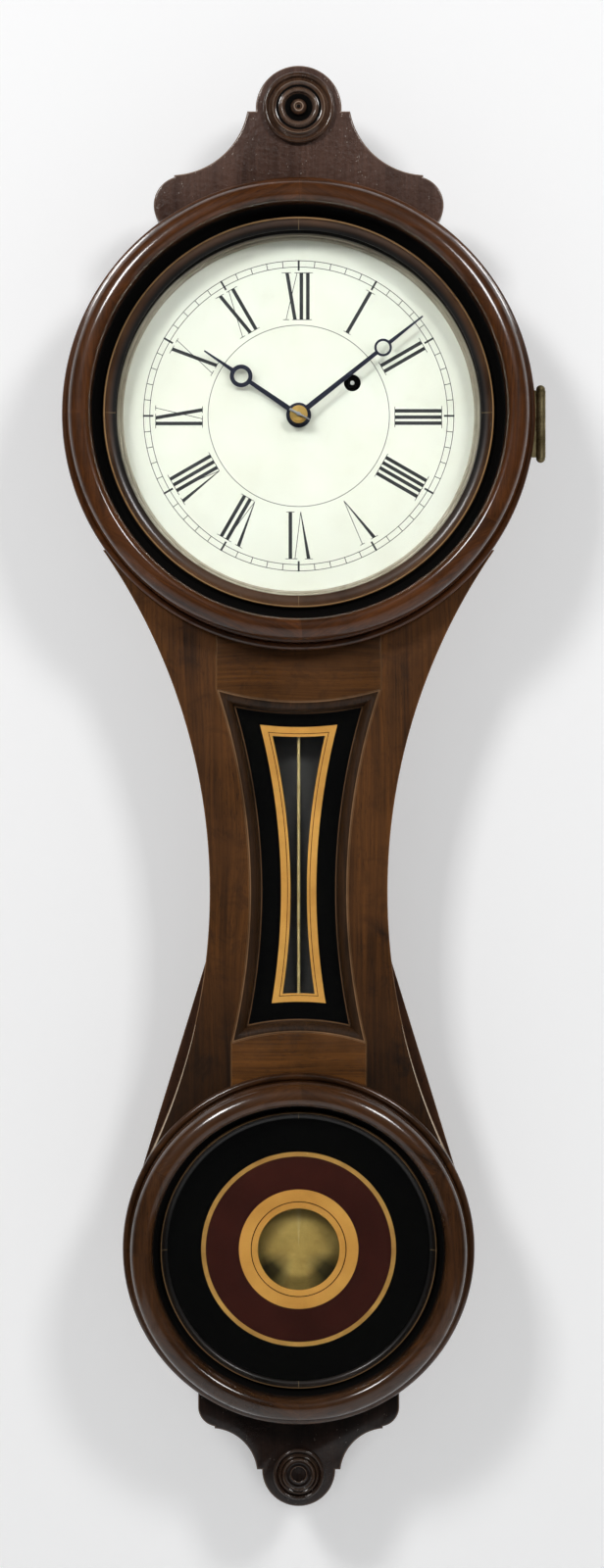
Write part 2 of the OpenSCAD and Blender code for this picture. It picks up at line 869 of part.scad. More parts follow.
module catch_ball() color([0.75, 0.75, 0.74]) facing() {
    translate([-catch_r, 0, door_back - catch_ball_r + 0.6])
        sphere(r = catch_ball_r, $fn = fine_fn * 2);
}

module lower_bezel() color([0.3, 0.17, 0.09]) facing() {
    translate(foot_centre) {
        turned() door_section(bezel_r, bezel_roll_r, bezel_roll_w, bezel_sight_r, lower_bead_w,
                              lower_bead_rise, bezel_front);
        dowel_spots() post([0, 0], dowel_r, panel_front - dowel_in, door_back + dowel_sink);
    }
}

module lower_bead() color([0.2, 0.15, 0.1]) facing() {
    translate(foot_centre) turned() bead_section(bezel_sight_r, lower_bead_w, lower_bead_rise);
}

module lower_glass() color([0.1, 0.1, 0.1, 0.6]) facing() {
    post(foot_centre, lower_bead_r, glass_back, glass_front);
}

// Gears

// A wheel's outline: n straight-flanked teeth, thinned so that they never rub
module gear_outline(n, m, tip, root) {
    pitch_r = n * m / 2;
    step = 360 / n;
    function wide(r, w) = w / r * 180 / PI / 2;
    mid_w = PI * m / 2 - 2 * gear_play;
    tip_r = pitch_r + tip * m;
    root_r = pitch_r - root * m;
    tip_a = wide(tip_r, mid_w * 0.42);
    root_a = wide(root_r, mid_w * 1.3);
    polygon([for (i = [0:n - 1]) for (p = [[root_r, -root_a], [tip_r, -tip_a], [tip_r, tip_a], [root_r, root_a]])
        p[0] * [cos(i * step + p[1]), sin(i * step + p[1])]]);
}

// A wheel with a rim, a hub and spokes. Its first tooth, or the gap beside it, points along turn.
module spoked_wheel(n, m, tip, hub_r, bore_r, rim_w, arms, arm_w, turn) {
    rim_in = n * m / 2 - m * 1.2 - rim_w;
    rotate(turn) {
        difference() {
            gear_outline(n, m, tip, 1.15);
            circle(r = rim_in, $fn = 120);
        }
        difference() {
            union() {
                circle(r = hub_r, $fn = 48);
                for (i = [0:arms - 1])
                    rotate(i * 360 / arms)
                        box2(0, rim_in + rim_w * 0.5, -arm_w / 2, arm_w / 2);
            }
            circle(r = bore_r, $fn = 48);
        }
    }
}

// The tooth phase that puts a gap of the driven gear on the line to its neighbour
function line_turn(from, to) = atan2(to[1] - from[1], to[0] - from[0]);
function gap_turn(n, from, to) = line_turn(from, to) + 180 / n;

module arbor(centre, r, from, to) {
    post(centre, r, from, to);
    post(centre, pivot_r, back_plate_z, from);
}

module pinion(centre, m, turn, from, to) {
    translate(centre) slab(from, to) rotate(turn) gear_outline(leaves, m, 0.62, 1.05);
}

// Movement

module plate_blank(from) {
    slab(from, from + plate_t) box2(-plate_half_w, plate_half_w, plate_foot, plate_top);
}

module back_plate() color([0.72, 0.6, 0.33]) facing() {
    difference() {
        union() {
            plate_blank(back_plate_z);
            for (spot = mount_spots)
                post(spot, 5, back_t, back_plate_z + over);
        }
        for (spot = [[0, 0], third_c, escape_c, swing_c])
            post(spot, pivot_r + pivot_play, back_plate_z - over, back_plate_front + over);
        post(great_c, great_pivot_r + pivot_play, back_plate_z - over, back_plate_front + over);
    }
}

// The front plate, with the stud that the minute wheel turns on
module front_plate() color([0.72, 0.6, 0.33]) facing() {
    difference() {
        plate_blank(front_plate_z);
        for (spot = [third_c, escape_c])
            post(spot, pivot_r + pivot_play, front_plate_z - over, front_plate_front + over);
        for (spot = [[0, 0], swing_c])
            post(spot, thin_arbor_r + pivot_play, front_plate_z - over, front_plate_front + over);
        post(great_c, great_pivot_r + pivot_play, front_plate_z - over, front_plate_front + over);
    }
    post(motion_c, 1, front_plate_front - over, minute_pinion_z + 3);
}

// Four plate pillars and the post that holds the cable's fixed end
module pillars() color([0.7, 0.58, 0.31]) facing() {
    for (spot = concat(pillar_spots, [[-pulley_pitch_r, post_y]]))
        post(spot, pillar_r, back_plate_front, front_plate_z);
}

// The bracket on the front plate that the pendulum hangs from, slotted for the suspension spring
module pallet_cock() color([0.72, 0.6, 0.33]) facing() {
    low = swing_c[1] + 4;
    difference() {
        union() {
            slab(front_plate_front, pendulum_z + 3.4) box2(-6, 6, low, low + 7);
            slab(front_plate_front, front_plate_front + 2) box2(-14, 14, low, low + 7);
        }
        slab(pendulum_z - 3, pendulum_z + 3.4 + over) box2(-0.7, 0.7, low - over, low + 6);
    }
}

module barrel() color([0.7, 0.6, 0.38]) facing() {
    post(great_c, great_pivot_r, back_plate_z, drum_back + 1);
    post(great_c, drum_flange_r, drum_back, drum_back + 1.2);
    post(great_c, drum_r, drum_back, ratchet_z);
    translate(great_c) slab(ratchet_z, ratchet_z + ratchet_t) ratchet_outline();
    post(great_c, great_arbor_r, ratchet_z, front_plate_z - 0.4);
    post(great_c, great_pivot_r, ratchet_z, winding_square_z);
    translate(great_c) slab(winding_square_z, dial_back + 0.8)
        box2(-winding_square / 2, winding_square / 2, -winding_square / 2, winding_square / 2);
}

module ratchet_outline() {
    step = 360 / ratchet_teeth;
    root_r = ratchet_r - 1.5;
    polygon([for (i = [0:ratchet_teeth - 1]) for (p = [[root_r, 0], [ratchet_r, 0.5], [ratchet_r, 2]])
        p[0] * [cos((i * step) + p[1]), sin((i * step) + p[1])]]);
}

module great_wheel() color([0.75, 0.62, 0.34]) facing() {
    translate(great_c) {
        slab(great_wheel_z, great_wheel_z + great_wheel_t)
            spoked_wheel(great_teeth, great_m, 0.9, great_web_r, great_arbor_r + pivot_play, 3, 6, 4,
                         line_turn(great_c, [0, 0]));
        post(click_spot, click_stud_r, ratchet_z + 0.2, great_wheel_z + over);
    }
}

module click() color([0.45, 0.47, 0.5]) facing() {
    tip = (ratchet_r + 1.5) * [cos(168), sin(168)];
    translate(great_c) slab(ratchet_z + 0.2, ratchet_z + ratchet_t) difference() {
        union() {
            translate(click_spot)
                circle(r = 2.6, $fn = fine_fn * 2);
            polygon([click_spot + [-2.2, 0], click_spot + [2.2, 0], tip + [0.9, 0.6], tip + [-1.6, 0.6]]);
        }
        translate(click_spot)
            circle(r = click_stud_r + seat_gap, $fn = fine_fn * 2);
        circle(r = ratchet_r + 0.2);
    }
}

module centre_arbor() color([0.5, 0.52, 0.55]) facing() {
    arbor([0, 0], arbor_r, back_plate_front + 0.4, front_plate_z - 0.4);
    pinion([0, 0], great_m, gap_turn(leaves, [0, 0], great_c), great_wheel_z - 0.6,
           great_wheel_z + great_wheel_t + 0.6);
    post([0, 0], thin_arbor_r, front_plate_z - 1, collet_front - 0.4);
}

module centre_wheel() color([0.75, 0.62, 0.34]) facing() {
    slab(centre_wheel_z, centre_wheel_z + wheel_t)
        spoked_wheel(centre_teeth, centre_m, 0.85, 4, arbor_r, 2, 5, 2.4, line_turn([0, 0], third_c));
}

// The cannon pinion and the pipe that carries the minute hand
module cannon_pinion() color([0.5, 0.52, 0.55]) facing() {
    difference() {
        union() {
            slab(minute_wheel_z, minute_wheel_z + 2.2)
                rotate(line_turn([0, 0], motion_c))
                    gear_outline(cannon_teeth, cannon_m, 0.62, 1.05);
            post([0, 0], cannon_r, minute_wheel_z, minute_hand_z + cannon_proud);
        }
        post([0, 0], thin_arbor_r, minute_wheel_z - over, minute_hand_z + 2);
    }
}

module minute_wheel() color([0.75, 0.62, 0.34]) facing() {
    difference() {
        union() {
            translate(motion_c) slab(minute_wheel_z, minute_wheel_z + wheel_t)
                spoked_wheel(minute_wheel_teeth, cannon_m, 0.62, 3, 0.5, 1.4, 4, 1.8,
                             gap_turn(minute_wheel_teeth, motion_c, [0, 0]));
            translate(motion_c) slab(minute_wheel_z, minute_pinion_z + 2.2)
                rotate(gap_turn(minute_pinion_teeth, motion_c, [0, 0]))
                    gear_outline(minute_pinion_teeth, hour_m, 0.62, 1.05);
        }
        post(motion_c, 1 + seat_gap, minute_wheel_z - over, minute_pinion_z + 3);
    }
}

// The hour wheel and its pipe, which carries the hour hand
module hour_wheel() color([0.75, 0.62, 0.34]) facing() {
    difference() {
        union() {
            slab(hour_wheel_z, hour_wheel_z + wheel_t)
                spoked_wheel(hour_wheel_teeth, hour_m, 0.62, 4.6, 1, 1.4, 4, 2, line_turn([0, 0], motion_c));
            post([0, 0], hour_pipe_r, hour_wheel_z, hour_hand_z + hour_pipe_proud);
        }
        post([0, 0], cannon_r + pipe_play, hour_wheel_z - over, hour_hand_z + 2);
    }
}

module third_arbor() color([0.5, 0.52, 0.55]) facing() {
    arbor(third_c, thin_arbor_r, back_plate_front + 0.4, front_plate_z - 0.4);
    post(third_c, pivot_r, front_plate_z - 1, front_plate_front);
    pinion(third_c, centre_m, gap_turn(leaves, third_c, [0, 0]), centre_wheel_z - 0.6,
           centre_wheel_z + wheel_t + 0.6);
}

module third_wheel() color([0.75, 0.62, 0.34]) facing() {
    translate(third_c) slab(third_wheel_z, third_wheel_z + wheel_t)
        spoked_wheel(third_teeth, third_m, 0.85, 3.4, thin_arbor_r, 1.8, 5, 2, line_turn(third_c, escape_c));
}

module escape_arbor() color([0.5, 0.52, 0.55]) facing() {
    arbor(escape_c, thin_arbor_r, back_plate_front + 0.4, front_plate_z - 0.4);
    post(escape_c, pivot_r, front_plate_z - 1, front_plate_front);
    pinion(escape_c, third_m, gap_turn(leaves, escape_c, third_c), third_wheel_z - 0.6,
           third_wheel_z + wheel_t + 0.6);
}

// Thirty teeth, undercut on the face that meets the pallets
module escape_wheel() color([0.78, 0.65, 0.36]) facing() {
    step = 360 / escape_teeth;
    root_r = escape_r * 0.82;
    translate(escape_c) slab(escape_wheel_z, escape_wheel_z + wheel_t) {
        difference() {
            polygon([for (i = [0:escape_teeth - 1]) for (p = [[root_r, 1.8], [escape_r, 0], [escape_r, 0.9],
                                                             [root_r, 8.5]])
                p[0] * [cos(i * step + p[1]), sin(i * step + p[1])]]);
            circle(r = root_r - 1.6);
        }
        difference() {
            union() {
                circle(r = 3, $fn = 48);
                for (i = [0:4])
                    rotate(i * 72)
                        box2(0, root_r - 1, -0.9, 0.9);
            }
            circle(r = thin_arbor_r, $fn = 48);
        }
    }
}

// The steel anchor on its arbor. Its pads stand just clear of the wheel at every swing.
module pallets() color([0.45, 0.47, 0.5]) facing() {
    arbor(swing_c, thin_arbor_r, back_plate_front + 0.4, crutch_z + crutch_t);
    translate(swing_c) slab(escape_wheel_z, escape_wheel_z + wheel_t) difference() {
        union() {
            circle(r = 3.4, $fn = 48);
            for (side = [-1, 1])
                rotate(-90 + side * 45) {
                    box2(0, escape_r, -1.3, 1.3);
                    difference() {
                        box2(escape_r - 1.6, escape_r + 1, -3, 3);
                        circle(r = escape_r - 0.9);
                    }
                }
        }
        for (turn = [-swing_limit, 0, swing_limit])
            rotate(turn)
                translate([0, escape_c[1] - swing_c[1]])
                    circle(r = escape_r + 0.25, $fn = 120);
    }
}

module crutch() color([0.72, 0.6, 0.33]) facing() {
    pin_y = swing_c[1] - crutch_len;
    difference() {
        union() {
            post(swing_c, 3, crutch_z, crutch_z + crutch_t);
            slab(crutch_z, crutch_z + crutch_t) box2(-1.2, 1.2, pin_y - 1.6, swing_c[1]);
        }
        post(swing_c, thin_arbor_r, crutch_z - over, crutch_z + crutch_t + over);
    }
    post([0, pin_y], crutch_pin_r, crutch_z, pendulum_z + 2.6);
}

// Pendulum

module suspension_spring() color([0.6, 0.63, 0.68]) facing() {
    slab(pendulum_z - 2.4, pendulum_z + 2.4) box2(-0.12, 0.12, rod_top - 4, swing_c[1] + 9);
}

// The rod is opened out into a ring where the hour pipe passes through it
module pendulum_rod() color([0.8, 0.66, 0.34]) facing() {
    pin_y = swing_c[1] - crutch_len;
    difference() {
        union() {
            slab(pendulum_z - 2.8, pendulum_z + 2.8) box2(-2.2, 2.2, rod_top - 5, rod_top);
            upright(0, keystone_r - 0.6, pendulum_z, rod_r, rod_top - keystone_r - 3);
            slab(pendulum_z - 1.8, pendulum_z + 1.8) box2(-2.2, 2.2, pin_y - 3, pin_y + 3);
            post([0, 0], keystone_r, pendulum_z - 0.7, pendulum_z + 0.7);
            upright(0, rod_low, pendulum_z, rod_r, -rod_low - keystone_r + 0.6);
        }
        post([0, 0], keystone_r - 1.5, pendulum_z - 3, pendulum_z + 3);
        post([0, pin_y], crutch_pin_r + seat_gap, pendulum_z - 3, pendulum_z + 3);
        slab(pendulum_z - 2.4 - seat_gap, pendulum_z + 2.4 + seat_gap)
            box2(-0.12 - seat_gap, 0.12 + seat_gap, rod_top - 4 - seat_gap, rod_top + over);
    }
}

// A hollow-looking lens: two shallow domes on a rounded rim
module bob_section() {
    rim_t = 2.8;
    dome_edge = bob_r - 3;
    sag = bob_t / 2 - rim_t;
    dome_r = (dome_edge * dome_edge + sag * sag) / (2 * sag);
    intersection() {
        box2(0, dome_edge, -bob_t / 2, bob_t / 2);
        translate([0, bob_t / 2 - dome_r])
            circle(r = dome_r, $fn = 720);
        translate([0, dome_r - bob_t / 2])
            circle(r = dome_r, $fn = 720);
    }
    box2(dome_edge - 1, bob_r - rim_t, -rim_t, rim_t);
    translate([bob_r - rim_t, 0])
        circle(r = rim_t, $fn = fine_fn * 2);
}

module bob() color([0.75, 0.6, 0.32]) facing() {
    difference() {
        translate([0, bob_y, pendulum_z]) turned() bob_section();
        upright(0, bob_y - bob_r - over, pendulum_z, rod_r + seat_gap, 2 * bob_r + 2 * over);
    }
}

module rating_nut() color([0.78, 0.64, 0.35]) facing() {
    difference() {
        union() {
            upright(0, nut_y - nut_h - 0.1, pendulum_z, 8, nut_h - 2);
            upright(0, nut_y - 2.6, pendulum_z, 4, 2.5);
        }
        upright(0, nut_y - nut_h - 1, pendulum_z, rod_r + seat_gap, nut_h + 2);
    }
}

// Weight and cable

module pulley_section() {
    difference() {
        union() {
            box2(pulley_axle_r + seat_gap, pulley_axle_r + 3, -3, 3);
            box2(pulley_axle_r + 2, pulley_r - 3, -1, 1);
            box2(pulley_r - 5, pulley_r, -3, 3);
        }
        translate([pulley_pitch_r, 0])
            circle(r = cable_r + seat_gap, $fn = fine_fn);
        box2(pulley_pitch_r, pulley_r + over, -cable_r - seat_gap, cable_r + seat_gap);
    }
}

module pulley() color([0.72, 0.6, 0.33]) facing() {
    translate([0, pulley_y, cable_z]) turned() pulley_section();
}

// The cast weight with its stirrup and the axle of the pulley
module weight() color([0.3, 0.31, 0.33]) facing() {
    corner = 3;
    translate([0, weight_top - weight_h, 0])
        slab(weight_back, weight_back + weight_t) {
            box2(-weight_w / 2, weight_w / 2, corner, weight_h - corner);
            box2(-weight_w / 2 + corner, weight_w / 2 - corner, 0, weight_h);
            for (x = [-1, 1])
                for (y = [corner, weight_h - corner])
                    translate([x * (weight_w / 2 - corner), y])
                        circle(r = corner, $fn = fine_fn * 2);
        }
    for (side = [-1, 1])
        translate([0, 0, cable_z + side * 4.4])
            slab(-0.8, 0.8) {
                box2(-5, 5, weight_top - 1, pulley_y);
                translate([0, pulley_y])
                    circle(r = 5, $fn = 48);
            }
    slab(cable_z - 5.2, cable_z + 5.2) box2(-5, 5, weight_top - 1, weight_top + 4);
    post([0, pulley_y], pulley_axle_r, cable_z - 5.2, cable_z + 5.2);
}

module cable_bight() color([0.6, 0.6, 0.58]) facing() {
    translate([0, pulley_y, cable_z])
        rotate([0, 0, 180])
            rotate_extrude(angle = 180, $fn = 120)
                translate([pulley_pitch_r, 0])
                    circle(r = cable_r, $fn = fine_fn);
}

module cable_fall() color([0.6, 0.6, 0.58]) facing() {
    upright(pulley_pitch_r, pulley_y, cable_z, cable_r, great_y - pulley_y);
}

module cable_standing() color([0.6, 0.6, 0.58]) facing() {
    upright(-pulley_pitch_r, pulley_y, cable_z, cable_r, post_y - pillar_r - pulley_y);
}

// Hands

module taper(w0, w1, y0, y1) {
    polygon([[-w0 / 2, y0], [w0 / 2, y0], [w1 / 2, y1], [-w1 / 2, y1]]);
}

// A hand drawn upright: a tapered shaft, an open ring and a needle
module hand_outline(len, ring_y, ring_r, hole_r, boss_r, bore_r) {
    difference() {
        union() {
            circle(r = boss_r);
            taper(hand_root, hand_neck, 0, ring_y - hole_r);
            translate([0, ring_y])
                circle(r = ring_r);
            taper(hand_neck, hand_tip, ring_y + hole_r, len);
        }
        circle(r = bore_r);
        translate([0, ring_y])
            circle(r = hole_r);
    }
}

module hour_hand() color([0.1, 0.11, 0.2]) facing() {
    slab(hour_hand_z, hour_hand_z + hand_t) rotate(-hour_turn)
        hand_outline(hour_len, hour_len - hour_ring_drop, hour_ring_r, hour_ring_hole_r, hour_boss_r,
                     hour_pipe_r);
}

module minute_hand() color([0.1, 0.11, 0.2]) facing() {
    slab(minute_hand_z, minute_hand_z + hand_t) rotate(-minute_turn)
        hand_outline(minute_len, minute_len - minute_ring_drop, minute_ring_r, minute_ring_hole_r, minute_boss_r,
                     cannon_r);
}

// The domed collet in front of the minute hand and its taper pin
module hand_collet() color([0.8, 0.68, 0.38]) facing() {
    difference() {
        union() {
            post([0, 0], collet_r, minute_hand_z + hand_t, collet_front - 1);
            post([0, 0], collet_r - 1.2, collet_front - 2, collet_front);
        }
        post([0, 0], cannon_r + seat_gap, minute_hand_z, minute_hand_z + 1.2 + seat_gap);
        post([0, 0], thin_arbor_r + seat_gap, minute_hand_z, collet_front + over);
    }
}

backboard();
side_left();
side_right();
upper_rim();
lower_rim();
stile_left();
stile_right();
top_rail();
bottom_rail();
throat_moulding();
throat_glass();
crest();
crest_rosette();
pendant();
pendant_rosette();
hanger_plate();
weight_baffle();
dial_seat();
dial();
dial_ring();
hinge_leaf_case();
catch_barrel();
back_plate();
front_plate();
pillars();
pallet_cock();
cable_fall();
cable_standing();
main_door();
main_bead();
main_glass();
hinge_leaf_door();
catch_ball();
lower_bezel();
lower_bead();
lower_glass();
barrel();
great_wheel();
click();
centre_arbor();
centre_wheel();
cannon_pinion();
minute_wheel();
hour_wheel();
third_arbor();
third_wheel();
escape_arbor();
escape_wheel();
pallets();
crutch();
suspension_spring();
pendulum_rod();
bob();
rating_nut();
pulley();
weight();
cable_bight();
hour_hand();
minute_hand();
hand_collet();
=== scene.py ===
"""A figure-eight wall regulator in turned walnut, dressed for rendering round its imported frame.

Shapes are worked out in millimetres as they are seen from the front: x to the right, up from the
dial's centre, and forward from the wall. place() turns them into metres in the row's frame.
"""
import json
import math

import bpy
import numpy as np
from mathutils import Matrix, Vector


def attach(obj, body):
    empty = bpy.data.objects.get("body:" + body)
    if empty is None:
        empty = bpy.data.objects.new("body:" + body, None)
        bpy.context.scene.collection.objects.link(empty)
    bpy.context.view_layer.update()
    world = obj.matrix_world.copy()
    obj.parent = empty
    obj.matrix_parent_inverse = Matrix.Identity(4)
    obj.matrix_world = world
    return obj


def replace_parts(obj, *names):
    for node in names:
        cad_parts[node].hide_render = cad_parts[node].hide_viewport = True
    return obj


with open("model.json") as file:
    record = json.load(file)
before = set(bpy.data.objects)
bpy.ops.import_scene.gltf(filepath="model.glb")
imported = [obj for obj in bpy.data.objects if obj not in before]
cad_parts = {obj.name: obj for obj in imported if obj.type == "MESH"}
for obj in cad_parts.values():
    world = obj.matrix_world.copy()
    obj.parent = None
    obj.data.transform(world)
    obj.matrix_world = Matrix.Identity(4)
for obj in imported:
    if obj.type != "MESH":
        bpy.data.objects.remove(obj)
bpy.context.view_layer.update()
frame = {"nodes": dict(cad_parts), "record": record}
nodes = frame["nodes"]

# Driving sizes, in millimetres, as in the part's source
DIAL_DROP = 112.0
CENTRE_GAP = 499.8
HEAD_R = 143.0
FOOT_R = 105.3
WAIST_R = 360.0
WAIST_BITE = 0.2
SIDE_INSET = 1.5
SIDE_T = 9.0
BACK_T = 12.0
SIDE_FRONT = 66.0
PANEL_FRONT = 78.0
DOOR_BACK = 78.3
DOOR_FRONT = 105.5
BEZEL_FRONT = 103.7
STILE_W = 24.0
THROAT_TOP_R = 172.0
THROAT_FOOT_R = 129.2
MOULDING_W = 7.6
MOULDING_FOOT = 68.0
GLASS_BACK = 82.5
GLASS_FRONT = 84.5
DIAL_FRONT = 67.5
PENDULUM_F = 61.6
BOB_R = 45.0
BOB_T = 20.0
CREST_Y = 184.0
CREST_R = 25.8
PENDANT_Y = 133.7
PENDANT_R = 22.0
ORNAMENT_BACK = 54.0
ORNAMENT_FRONT = 74.0
RIM_OUT_R = 141.0
LOWER_RIM_OUT_R = 103.8

# Depths of the first coat of paint behind each glass, and the steps from one coat to the next
THROAT_PAINT_F = 65.9
BEZEL_PAINT_F = 82.3
COAT_T = 0.03
BEZEL_COAT_T = 0.04

# Where the waist curves lie, so that they touch the head circle and the foot circle
WAIST_Y = -((WAIST_R + HEAD_R) ** 2 - (WAIST_R + FOOT_R) ** 2 + CENTRE_GAP ** 2) / (2 * CENTRE_GAP)
WAIST_X = math.sqrt((WAIST_R + HEAD_R) ** 2 - WAIST_Y ** 2)
HEAD = np.array([0.0, 0.0])
FOOT = np.array([0.0, -CENTRE_GAP])
WAIST = np.array([WAIST_X, WAIST_Y])

# Heights of the two turned axes, and the winding arbor's place, in metres in the row's frame
HEAD_Z = -DIAL_DROP / 1000
FOOT_Z = -(DIAL_DROP + CENTRE_GAP) / 1000
KEY_AXIS = next(m["pos_m"] for m in frame["record"]["mounts"] if m["name"] == "winding_square")


def place(points):
    """(x, up, forward) in millimetres to (x, -forward, up - drop) in metres, for an array of points."""
    points = np.asarray(points, dtype=float)
    x, up, forward = np.moveaxis(points, -1, 0)
    return np.stack([x, -forward, up - DIAL_DROP], axis=-1) / 1000.0


def arc(centre, r, start, end, count):
    """Points of a circle: centre + r (cos a, sin a), with a running from start to end in degrees."""
    return bend(centre, r, r, start, end, count)


def bend(centre, across, up, start, end, count):
    """Points of an ellipse's arc: centre + (across cos a, up sin a), a in degrees."""
    a = np.radians(np.linspace(start, end, count))
    return np.stack([centre[0] + across * np.cos(a), centre[1] + up * np.sin(a)], axis=1)


def line(a, b, count):
    """Points of a straight line from a to b, evenly spaced."""
    t = np.linspace(0.0, 1.0, count)[:, None]
    return np.asarray(a, float) * (1 - t) + np.asarray(b, float) * t


def meet(c0, r0, c1, r1, side):
    """The point where two circles meet: along the line of centres by the radical distance, then across."""
    d = np.linalg.norm(c1 - c0)
    u = (c1 - c0) / d
    a = (r0 * r0 - r1 * r1 + d * d) / (2 * d)
    h = math.sqrt(r0 * r0 - a * a)
    return c0 + u * a + np.array([-u[1], u[0]]) * h * side


def angle_of(centre, point):
    """The direction from centre to point, in degrees."""
    return math.degrees(math.atan2(point[1] - centre[1], point[0] - centre[0]))


def run(centre, r, a, b, count):
    """The shorter arc about centre from point a to point b."""
    start, end = angle_of(centre, a), angle_of(centre, b)
    end = start + (end - start + 180.0) % 360.0 - 180.0
    return arc(centre, r, start, end, count)


def flip(points):
    """The same outline on the other side of the middle, in the same sense of turning."""
    return (points * np.array([-1.0, 1.0]))[::-1]


def at_depth(outline, forward):
    """The outline's points (x, up) with one depth for all of them."""
    return np.column_stack([outline, np.full(len(outline), forward)])


def lengths(path):
    """How far along the path each of its points lies."""
    return np.concatenate([[0.0], np.cumsum(np.linalg.norm(np.diff(path, axis=0), axis=1))])


def counter_clockwise(path):
    """The path, turned round where it runs clockwise, by the sign of the area inside it."""
    x, y = path[:, 0], path[:, 1]
    return path if np.sum(x * np.roll(y, -1) - np.roll(x, -1) * y) > 0 else path[::-1]


looks = {}


def dress(piece, look):
    """Gives a piece one material all over, in its own slots, adding a slot first to a piece that has none."""
    if not piece.material_slots:
        piece.data.materials.append(looks[look])
    for own in piece.material_slots:
        own.material = looks[look]
    return piece


def fit(piece, look, node):
    """Dresses a new piece and puts it in the place of a node of the frame."""
    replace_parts(dress(piece, look), node)


def stand(name, data):
    """A new object in the scene."""
    piece = bpy.data.objects.new(name, data)
    bpy.context.scene.collection.objects.link(piece)
    return piece


def make(name, verts, faces, body, grain=None, uv=None, sharp=35.0, arris=None):
    """A mesh object from placed points and faces, shaded smooth except over edges past a sharp angle.
    Its points may carry the grain they lie in and a mask of the arrises that wear light."""
    mesh = bpy.data.meshes.new(name)
    mesh.from_pydata(place(verts).tolist(), [], faces)
    mesh.validate()
    mesh.polygons.foreach_set("use_smooth", np.ones(len(mesh.polygons), dtype=bool))
    mesh.set_sharp_from_angle(angle=math.radians(sharp))
    if grain is not None:
        layer = mesh.attributes.new("grain", "FLOAT_VECTOR", "POINT")
        layer.data.foreach_set("vector", (grain / 1000.0).ravel())
    if arris is not None:
        mesh.attributes.new("arris", "FLOAT", "POINT").data.foreach_set("value", arris.astype(np.float32))
    if uv is not None:
        index = np.empty(len(mesh.loops), dtype=np.int64)
        mesh.loops.foreach_get("vertex_index", index)
        mesh.uv_layers.new(name="UVMap").data.foreach_set("uv", uv[index].ravel())
    piece = stand(name, mesh)
    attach(piece, body)
    return piece


def grid_faces(rows, columns, close_rows, close_columns, turn=False):
    """Quads of a grid of points, closed round either way, as lists of point numbers."""
    i = np.arange(rows if close_rows else rows - 1)
    j = np.arange(columns if close_columns else columns - 1)
    i, j = np.meshgrid(i, j, indexing="ij")
    i2 = (i + 1) % rows
    j2 = (j + 1) % columns
    quads = np.stack([i * columns + j, i2 * columns + j, i2 * columns + j2, i * columns + j2], axis=-1)
    quads = quads.reshape(-1, 4)
    return (quads[:, ::-1] if turn else quads).tolist()


def end_faces(total, count, turn=False):
    """The first and the last ring of count points each, as faces that look outwards."""
    first, last = list(range(count)), list(range(total - count, total))
    return [first, last[::-1]] if turn else [first[::-1], last]


def ring_grain(points, centre, segments, seed):
    """Grain that runs straight along each sawn segment of a ring: the point turned by its segment's angle."""
    x = points[:, 0] - centre[0]
    y = points[:, 1] - centre[1]
    turn = 2 * math.pi / segments
    k = np.floor(np.arctan2(y, x) / turn + 0.5)
    a = k * turn + math.pi / 2
    along = x * np.cos(a) + y * np.sin(a) + k * 97.0 + seed
    across = -x * np.sin(a) + y * np.cos(a) + k * 31.0
    return np.stack([along, across, points[:, 2] + k * 13.0], axis=1)


def sharpness(path, closed):
    """How tightly a counter-clockwise path turns outwards at each point, per millimetre, as a mask."""
    before = path - np.roll(path, 1, axis=0)
    after = np.roll(path, -1, axis=0) - path
    turn = np.arctan2(before[:, 0] * after[:, 1] - before[:, 1] * after[:, 0], np.sum(before * after, axis=1))
    reach = 0.5 * (np.linalg.norm(before, axis=1) + np.linalg.norm(after, axis=1))
    mask = np.clip((turn / np.maximum(reach, 0.05) - 0.7) / 1.2, 0.0, 1.0)
    if not closed:
        mask[[0, -1]] = 0.0
    return mask


def turned(name, body, centre, profile, steps=256, segments=6, seed=0.0, closed=True, sharp=35.0):
    """A turned piece: (cx + r cos a, cy + r sin a, f) for each profile point (r, f) and each angle a.
    The profile has the radius across and the depth up."""
    profile = counter_clockwise(np.asarray(profile, float))
    a = np.linspace(0.0, 2 * math.pi, steps, endpoint=False)[:, None]
    r, f = profile[None, :, 0], profile[None, :, 1]
    grid = np.stack([centre[0] + r * np.cos(a), centre[1] + r * np.sin(a), f + 0.0 * a], axis=-1)
    points, columns = grid.reshape(-1, 3), len(profile)
    faces = grid_faces(steps, columns, True, closed)
    grain = ring_grain(points, centre, segments, seed)
    around, along = np.linspace(0, 1, steps), lengths(profile) / 100.0
    uv = np.stack([np.repeat(around, columns), np.tile(along, steps)], axis=1)
    return make(name, points, faces, body, grain, uv, sharp, np.tile(sharpness(profile, closed), steps))


def inset(outline, distance):
    """The outline moved in by a distance along each point's own normal (the mean of its two edges)."""
    before = outline - np.roll(outline, 1, axis=0)
    after = np.roll(outline, -1, axis=0) - outline
    before /= np.linalg.norm(before, axis=1)[:, None]
    after /= np.linalg.norm(after, axis=1)[:, None]
    n0 = np.stack([-before[:, 1], before[:, 0]], axis=1)
    n1 = np.stack([-after[:, 1], after[:, 0]], axis=1)
    n = n0 + n1
    n /= np.maximum(np.sum(n * n0, axis=1), 0.35)[:, None]
    return outline + n * distance


def eased(ease, front):
    """The steps (in, forward) of a quarter circle over an arris: ease (1 - cos a) in, as far as the front."""
    a = np.radians(np.linspace(0, 90, 5))
    return np.stack([ease * (1 - np.cos(a)), front - ease * (1 - np.sin(a))], axis=1)


